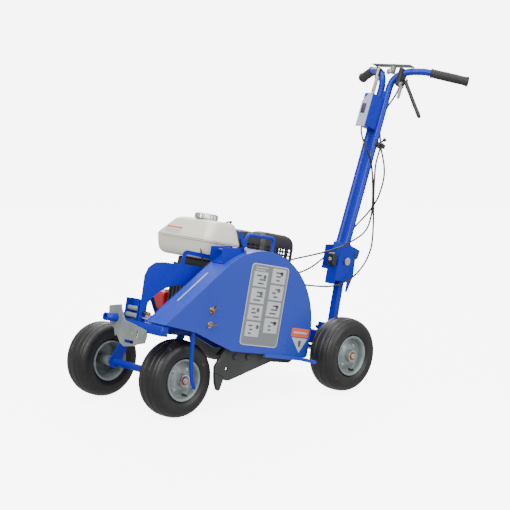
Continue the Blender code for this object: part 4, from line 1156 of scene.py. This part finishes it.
def build_starter():
    bowl = [
        (-0.0856, 0.0), (-0.0856, 0.0885), (-0.09, 0.0893), (-0.118, 0.0888), (-0.126, 0.0868),
        (-0.14, 0.081), (-0.153, 0.0745), (-0.16, 0.068), (-0.164, 0.06), (-0.1655, 0.045),
        (-0.169, 0.04), (-0.169, 0.0)
    ]
    piece = on_chassis("starter_bowl", turned(bowl, 72, (0, *CRANK)), "red", ("recoil_cover",))
    slots = []
    for i in range(16):
        slot_box = box((-0.175, 0.046, -0.0028), (-0.158, 0.059, 0.0028))
        slot_box.transform(
            CHASSIS @ Matrix.Translation((0, *CRANK)) @ Matrix.Rotation(2 * math.pi * i / 16, 4, "X")
        )
        slots.append(slot_box)
    cut(piece, slots)
    boss = turned([(-0.1692, 0.0), (-0.1692, 0.03), (-0.1697, 0.029), (-0.1697, 0.0)], 40, (0, *CRANK))
    on_chassis("starter_badge_disc", boss, "black")
    bm = loft(
        [
            (-0.0315, -0.008, 0.008, -0.0085, -0.0005), (-0.028, -0.0105, 0.0105, -0.012, -0.0002),
            (-0.01, -0.0095, 0.0095, -0.0105, -0.0002), (0.0, -0.0088, 0.0088, -0.0095, -0.0002),
            (0.01, -0.0095, 0.0095, -0.0105, -0.0002), (0.028, -0.0105, 0.0105, -0.012, -0.0002),
            (0.0315, -0.008, 0.008, -0.0085, -0.0005)
        ],
        0.005, 5
    )
    axes = CHASSIS @ Matrix.Translation((-0.14, -0.4255, 0.16))
    put("starter_grip_moulded", bm, "black", "starter_grip", axes, ("starter_handle",))


def build_muffler():
    x0, x1, u0, u1, w0, w1 = 0.03, 0.12, -0.256, -0.088, 0.265, 0.378
    shell = []
    for w, inset in (
        (w0, 0.0), (w0 + 0.07, 0.0), (w0 + 0.088, 0.002), (w0 + 0.1, 0.007), (w0 + 0.108, 0.014),
        (w1, 0.026)
    ):
        shell.append((w, x0 + inset, x1 - inset, u0 + inset, u1 - inset))
    guard = on_chassis(
        "muffler_guard_pressed", loft(shell, 0.014, 6), "black_cast", ("muffler_guard",),
        slot="black_plastic"
    )
    hollow = []
    wall = 0.0025
    for w, inset in (
        (w0 - 0.02, 0.0), (w0 + 0.07, 0.0), (w0 + 0.087, 0.002), (w0 + 0.098, 0.007),
        (w0 + 0.1055, 0.014), (w1 - wall, 0.025)
    ):
        hollow.append((w, x0 + wall + inset, x1 - wall - inset, u0 + wall + inset, u1 - wall - inset))
    inside = loft(hollow, 0.012, 6)
    inside.transform(CHASSIS)
    cut(guard, [inside])
    slots = []
    for row in range(4):
        w = w0 + 0.02 + row * 0.0125
        for column in range(5):
            u = u0 + 0.019 + column * 0.027
            slots.append(box((x0 - 0.01, u, w), (x1 + 0.01, u + 0.0195, w + 0.0066)))
        for column in range(3):
            x = x0 + 0.013 + column * 0.0235
            slots.append(box((x, u1 - 0.01, w), (x + 0.017, u1 + 0.01, w + 0.0066)))
            slots.append(box((x, u0 - 0.01, w), (x + 0.017, u0 + 0.01, w + 0.0066)))
    for row in range(3):
        for column in range(4):
            x, u = x0 + 0.03 + row * 0.012, u0 + 0.038 + column * 0.025
            slots.append(box((x, u, w1 - 0.008), (x + 0.006, u + 0.017, w1 + 0.008)))
    for slot in slots:
        slot.transform(CHASSIS)
    cut(guard, slots)
    refine("muffler", "dark_steel", 0.002)


def build_air_cleaner():
    """The air cleaner's lidded case with ribs along its side."""
    body = loft(
        [
            (0.2742, -0.132, -0.038, -0.218, -0.12), (0.2765, -0.138, -0.032, -0.224, -0.114),
            (0.3, -0.14, -0.03, -0.226, -0.112), (0.33, -0.14, -0.03, -0.226, -0.112),
            (0.3315, -0.1385, -0.0315, -0.2245, -0.1135), (0.333, -0.1385, -0.0315, -0.2245, -0.1135),
            (0.3345, -0.14, -0.03, -0.226, -0.112), (0.356, -0.139, -0.031, -0.225, -0.113),
            (0.368, -0.132, -0.038, -0.218, -0.12), (0.373, -0.118, -0.052, -0.204, -0.134),
            (0.3745, -0.105, -0.065, -0.19, -0.148)
        ],
        0.02
    )
    on_chassis("air_cleaner_case", body, "black", ("air_cleaner",))
    ribs = []
    for i in range(8):
        u = -0.212 + 0.012 * i
        ribs.append(box((-0.1402, u, 0.284), (-0.1385, u + 0.0035, 0.326), 0.0006, 1))
    on_chassis("air_cleaner_ribs", merged(ribs), "black")


def build_carburettor():
    """The carburettor body with its round bowl."""
    body = box((-0.108, -0.212, 0.226), (-0.064, -0.168, 0.2735), 0.005, 3)
    on_chassis("carburettor", body, "cast")
    bowl = turned(
        [(0, 0), (0, 0.014), (0.018, 0.017), (0.021, 0.017), (0.021, 0)], 32, (-0.086, -0.19, 0.2045), "Z"
    )
    on_chassis("carburettor_bowl", bowl, "steel", slot="engine_metal")


def build_wires():
    """Ignition lead with its boot, the loose switch wire and the governor link."""
    lead = spline(
        [
            (-0.016, -0.149, 0.205), (-0.016, -0.132, 0.208), (-0.03, -0.122, 0.226),
            (-0.048, -0.14, 0.246), (-0.07, -0.19, 0.262 - 0.03), (-0.075, -0.24, 0.235)
        ],
        50
    )
    on_chassis("ignition_lead", swept(lead, 0.0034, 12), "black")
    boot = turned(
        [(0, 0), (0, 0.0062), (0.016, 0.0058), (0.02, 0.0045), (0.02, 0)], 24, (-0.016, -0.1505, 0.205),
        "Y"
    )
    on_chassis("spark_plug_boot", boot, "black")
    wire = spline(
        [
            (0.078, -0.445, 0.15), (0.09, -0.478, 0.205), (0.094, -0.512, 0.262), (0.1, -0.524, 0.282),
            (0.106, -0.52, 0.262), (0.104, -0.492, 0.21), (0.092, -0.452, 0.175)
        ],
        60
    )
    on_chassis("stop_switch_wire", swept(wire, 0.0016, 8), "black")
    link = swept(
        spline(
            [(0.06, -0.3, 0.2355), (0.02, -0.27, 0.2345), (-0.04, -0.225, 0.24), (-0.066, -0.205, 0.246)],
            24
        ),
        0.0012, 8
    )
    on_chassis("governor_link", link, "steel")


# ---------------------------------------------------------------- handle

TUBE = 0.0127
HANDLE_X = 0.24
SPREAD = 0.018
BAR_ROUTE = [
    (0.0, 0.0, 0.03), (0.0, 0.0, 0.655), (0.006, 0.001, 0.68), (0.022, 0.007, 0.704),
    (0.047, 0.019, 0.721), (0.079, 0.036, 0.731), (0.12, 0.06, 0.736), (0.229, 0.138, 0.736)
]
GRIP_START = (0.12, 0.06, 0.736)
GRIP_END = (0.233, 0.141, 0.736)


def bar_route(side):
    points = [Vector((HANDLE_X + side * (SPREAD + x), v, t)) for x, v, t in BAR_ROUTE]
    return [points[0].lerp(points[1], i / 4) for i in range(4)] + spline(points[1:], 44)


def build_handle():
    tubes = [swept(bar_route(side), TUBE, 28) for side in (1, -1)]
    foot = box((0.2085, -0.016, -0.016), (0.2715, 0.016, 0.064), 0.0022, 2)
    welds = []
    for side in (1, -1):
        bead = [(0, 0.0115), (0, 0.015), (0.003, 0.0133), (0.003, 0.0115)]
        welds.append(turned(bead, 28, (HANDLE_X + side * SPREAD, 0, 0.0645), "Z"))
    web = box((HANDLE_X - 0.0075, -0.005, 0.055), (HANDLE_X + 0.0075, 0.005, 0.64), 0.001)
    on_handle("handle_tubes", merged(tubes + [foot, web] + welds), "blue", ("handle_column",))
    for side, name in ((1, "grip_left"), (-1, "grip_right")):
        build_grip(side, name)
    build_control_box()
    build_levers()
    build_pivot_latch()


def build_grip(side, name):
    start = Vector((HANDLE_X + side * (SPREAD + GRIP_START[0]), *GRIP_START[1:]))
    end = Vector((HANDLE_X + side * (SPREAD + GRIP_END[0]), *GRIP_END[1:]))
    count = 120
    route, radii = [], []
    for i in range(count + 1):
        s = i / count
        route.append(start.lerp(end, s))
        radius = 0.0158 + 0.0012 * math.sin(math.pi * s)
        end_flange = 0.0032 * math.exp(-(((s - 0.955) / 0.03) ** 2))
        start_flange = 0.0022 * math.exp(-(((s - 0.02) / 0.02) ** 2))
        radius += end_flange + start_flange
        if 0.12 < s < 0.88:
            radius -= 0.0007 * (1 + math.cos(2 * math.pi * 17 * s)) / 2
        if s > 0.985:
            radius *= 0.86
        if s < 0.005:
            radius = 0.015
        radii.append(min(radius, 0.0193))
    on_handle(name + "_moulded", swept(route, radii, 28), "grip", (name,))


def build_control_box():
    low, high = (HANDLE_X - 0.02, -0.078, 0.486), (HANDLE_X + 0.02, -0.0135, 0.606)
    on_handle("control_box_shell", box(low, high, 0.0022, 3), "blue", ("control_box",), slot="box_blue")
    shape = [(0.2195, 0.479), (0.2605, 0.479), (0.2605, 0.606), (0.244, 0.606), (0.2195, 0.574)]
    face = plate(rounded(shape, 0.003), -0.0805, -0.0785, 1)
    # The pale lilac on this plate is a painted highlight on blue sheet.
    on_handle("control_box_plate", face, "lilac_painted_highlight")
    screws = [
        hex_bolt((x, -0.0805, t), 0.0024, -0.0016, "Y", False) for x,
        t in ((0.2245, 0.4855), (0.256, 0.4855), (0.256, 0.6))
    ]
    on_handle("control_box_screws", merged(screws), "steel")
    rocker = merged(
        [
            box((0.229, -0.0862, 0.532), (0.243, -0.0805, 0.562), 0.0018, 2),
            box((0.2265, -0.082, 0.5285), (0.2455, -0.0804, 0.5655), 0.0008, 2)
        ]
    )
    on_handle("engine_switch", rocker, "switch")
    strap = box((0.2185, -0.016, 0.5), (0.22, -0.0134, 0.592), 0.0005, 1)
    on_handle("control_box_strap", strap, "blue")


def build_levers():
    refine("throttle_lever", "beige", 0.0012)
    refine("bar_plate", "zinc", 0.0008)
    refine("lever_clamp", "black", 0.0012)
    refine("cable_clip", "black", 0.001)
    build_clutch_lever()
    build_lever_lock()
    build_far_controls()
    build_bar_bolts()


def build_clutch_lever():
    """The long lever under the near grip and the pin it turns on."""
    pivot = Vector((0.311, 0.016, 0.69))
    points = [
        (0, 0, 0.003), (0.004, 0.003, -0.012), (0.02, 0.014, -0.04), (0.044, 0.031, -0.082),
        (0.068, 0.048, -0.123)
    ]
    route = [pivot + p for p in spline(points, 40)]
    radii = [0.0076 - 0.0006 * math.sin(math.pi * i / 39) for i in range(37)] + [0.0074, 0.0066, 0.0044]
    put("clutch_lever_blade", swept(route, radii, 20), "black", "clutch", HANDLE, ("clutch_lever",))
    pin = turned(roller_profile(-0.0078, 0.0078, 0.0032), 24)
    spot = HANDLE @ Matrix.Translation(pivot) @ Matrix.Rotation(math.radians(-54.6), 4, "Z")
    put("clutch_lever_pin", pin, "steel", "clutch", spot)


def build_lever_lock():
    """A round lock and its short lever below the clamp."""
    ring = turned([(0, 0.0045), (0, 0.0128), (0.0045, 0.0128), (0.006, 0.0112), (0.006, 0.0045)], 36)
    ring.transform(Matrix.Translation((0.3022, 0.0065, 0.668)))
    on_handle("lock_ring", ring, "steel")
    blade = plate(
        rounded([(-0.007, 0.004), (0.008, 0.004), (0.007, -0.044), (-0.006, -0.048)], 0.006), 0.304,
        0.3085
    )
    blade.transform(Matrix.Translation((0.0, 0.0055, 0.662)))
    on_handle("lock_lever", blade, "beige", bevel=0.0008)


def build_far_controls():
    """A clamp on the far bar and the pale lever in front of it."""
    strap = merged(
        [
            box((0.182, -0.012, 0.684), (0.1985, 0.026, 0.7235), 0.004, 3),
            swept(
                spline([(0.19, 0.004, 0.69), (0.186, -0.002, 0.66), (0.188, -0.006, 0.632)], 16), 0.0042,
                12
            )
        ]
    )
    on_handle("right_bar_clamp", strap, "black")
    second = swept(
        spline([(0.2, -0.018, 0.728), (0.203, -0.022, 0.69), (0.206, -0.025, 0.64)], 24),
        [0.0042] * 22 + [0.005, 0.003], 14
    )
    on_handle("second_lever", second, "beige")


def build_bar_bolts():
    """The bar plate's bolts and the knob on the cable clip."""
    nut = hex_bolt((HANDLE_X, 0.014, 0.7459), 0.0095, 0.003, "Z", False)
    under = hex_bolt((HANDLE_X, -0.0042, 0.715), 0.0088, -0.007, "Y")
    on_handle("bar_plate_bolts", merged([nut, under]), "steel")
    stop = turned(
        [(0, 0), (0, 0.0032), (0.01, 0.0032), (0.011, 0.0066), (0.018, 0.007), (0.02, 0.005), (0.02, 0)],
        24
    )
    stop.transform(Matrix.Translation((0.2862, 0.004, 0.45)) @ Matrix.Rotation(math.radians(-35), 4, "Y"))
    on_handle("clip_knob", stop, "black")


def build_pivot_latch():
    head = hex_bolt((0.2838, 0.018, 0.323), 0.0105, 0.0055)
    on_chassis("pivot_bolt_head", head, "steel")
    latch = plate(
        rounded([(-0.04, 0.3), (-0.022, 0.296), (-0.018, 0.326), (-0.03, 0.344), (-0.042, 0.338)], 0.004),
        0.246, 0.2725
    )
    latch.transform(Matrix.Translation((0, -0.0065, 0.004)))
    on_chassis("fold_latch", latch, "black", bevel=0.0012)
    stud = hex_bolt((0.2602, -0.0495, 0.322), 0.0062, -0.006, "Y")
    on_chassis("fold_latch_bolt", stud, "steel")
    # A thin black disc on the blue bracket ear stands for the dark inside of its hole: painted shade.
    ear = turned([(0.2774, 0.0), (0.2774, 0.0068), (0.2778, 0.0068), (0.2778, 0.0)], 28, (0, 0.058, 0.35))
    on_chassis("bracket_ear_hole_painted_shade", ear, "black", slot="blue_paint")
    knob = turned(
        [(0, 0), (0, 0.004), (0.006, 0.004), (0.008, 0.011), (0.016, 0.012), (0.019, 0.008), (0.019, 0)],
        28, (0.205, 0.012, 0.0625), "Z"
    )
    on_chassis("crossmember_knob", knob, "black")


# ---------------------------------------------------------------- floor and light

def build_studio():
    """Near-white paper floor with a curved back; it is bright but does not light or tint the object."""
    bm = bmesh.new()
    half, back, steps = 7.0, 5.0, 24
    profile = [(-8.0, 0.0)] + [
        (back + 2.5 * math.sin(a), 2.5 - 2.5 * math.cos(a))
        for a in [math.pi / 2 * i / steps for i in range(steps + 1)]
    ]
    profile.append((back + 2.5, 7.0))
    turn = Matrix.Rotation(math.radians(45), 4, "Z")
    rows = []
    for along, z in profile:
        rows.append([bm.verts.new(turn @ Vector((x, along, z))) for x in (-half, half)])
    for a, b in zip(rows, rows[1:]):
        bm.faces.new((a[0], a[1], b[1], b[0]))
    mesh = bpy.data.meshes.new("floor")
    bm.to_mesh(mesh)
    bm.free()
    mesh.shade_smooth()
    floor = bpy.data.objects.new("floor", mesh)
    bpy.context.scene.collection.objects.link(floor)
    paper = finish(
        "floor_paper", (0.88, 0.88, 0.88), 0.62, 0.0, (2.0, 0.01), (60.0, 0.02), None, 0.0, spread=0.03
    )
    shader = paper.node_tree.nodes["Principled BSDF"]
    shader.inputs["Emission Color"].default_value = (1.0, 1.0, 1.0, 1.0)
    shader.inputs["Emission Strength"].default_value = 6.0
    mesh.materials.append(paper)
    floor.visible_diffuse = False
    floor.visible_glossy = False
    add_world()
    add_lights()


def add_world():
    world = bpy.data.worlds.new("studio")
    world.use_nodes = True
    world.node_tree.nodes["Background"].inputs["Color"].default_value = (1.0, 1.0, 1.0, 1)
    world.node_tree.nodes["Background"].inputs["Strength"].default_value = 0.7
    bpy.context.scene.world = world


def add_lights():
    """Four soft area lights around the object."""
    for name, place, aim, size, power in (
        ("key", (1.6, -3.6, 3.6), (0, 0, 0.4), 3.0, 190.0),
        ("fill", (4.0, 0.6, 2.2), (0, 0, 0.4), 3.0, 105.0),
        ("top", (-0.4, 0.4, 4.2), (0, 0, 0.3), 3.5, 150.0),
        ("back", (-3.0, 2.6, 2.8), (0, 0, 0.5), 2.5, 90.0),
    ):
        light = bpy.data.lights.new(name, "AREA")
        light.size = size
        light.energy = power
        lamp = bpy.data.objects.new(name, light)
        lamp.location = place
        lamp.rotation_euler = (Vector(aim) - Vector(place)).to_track_quat("-Z", "Y").to_euler()
        bpy.context.scene.collection.objects.link(lamp)


def main():
    add_camera()
    build_cables()
    build_wheels()
    build_frame()
    build_housing()
    build_ground_tools()
    build_drive()
    build_engine()
    build_handle()
    build_studio()


main()
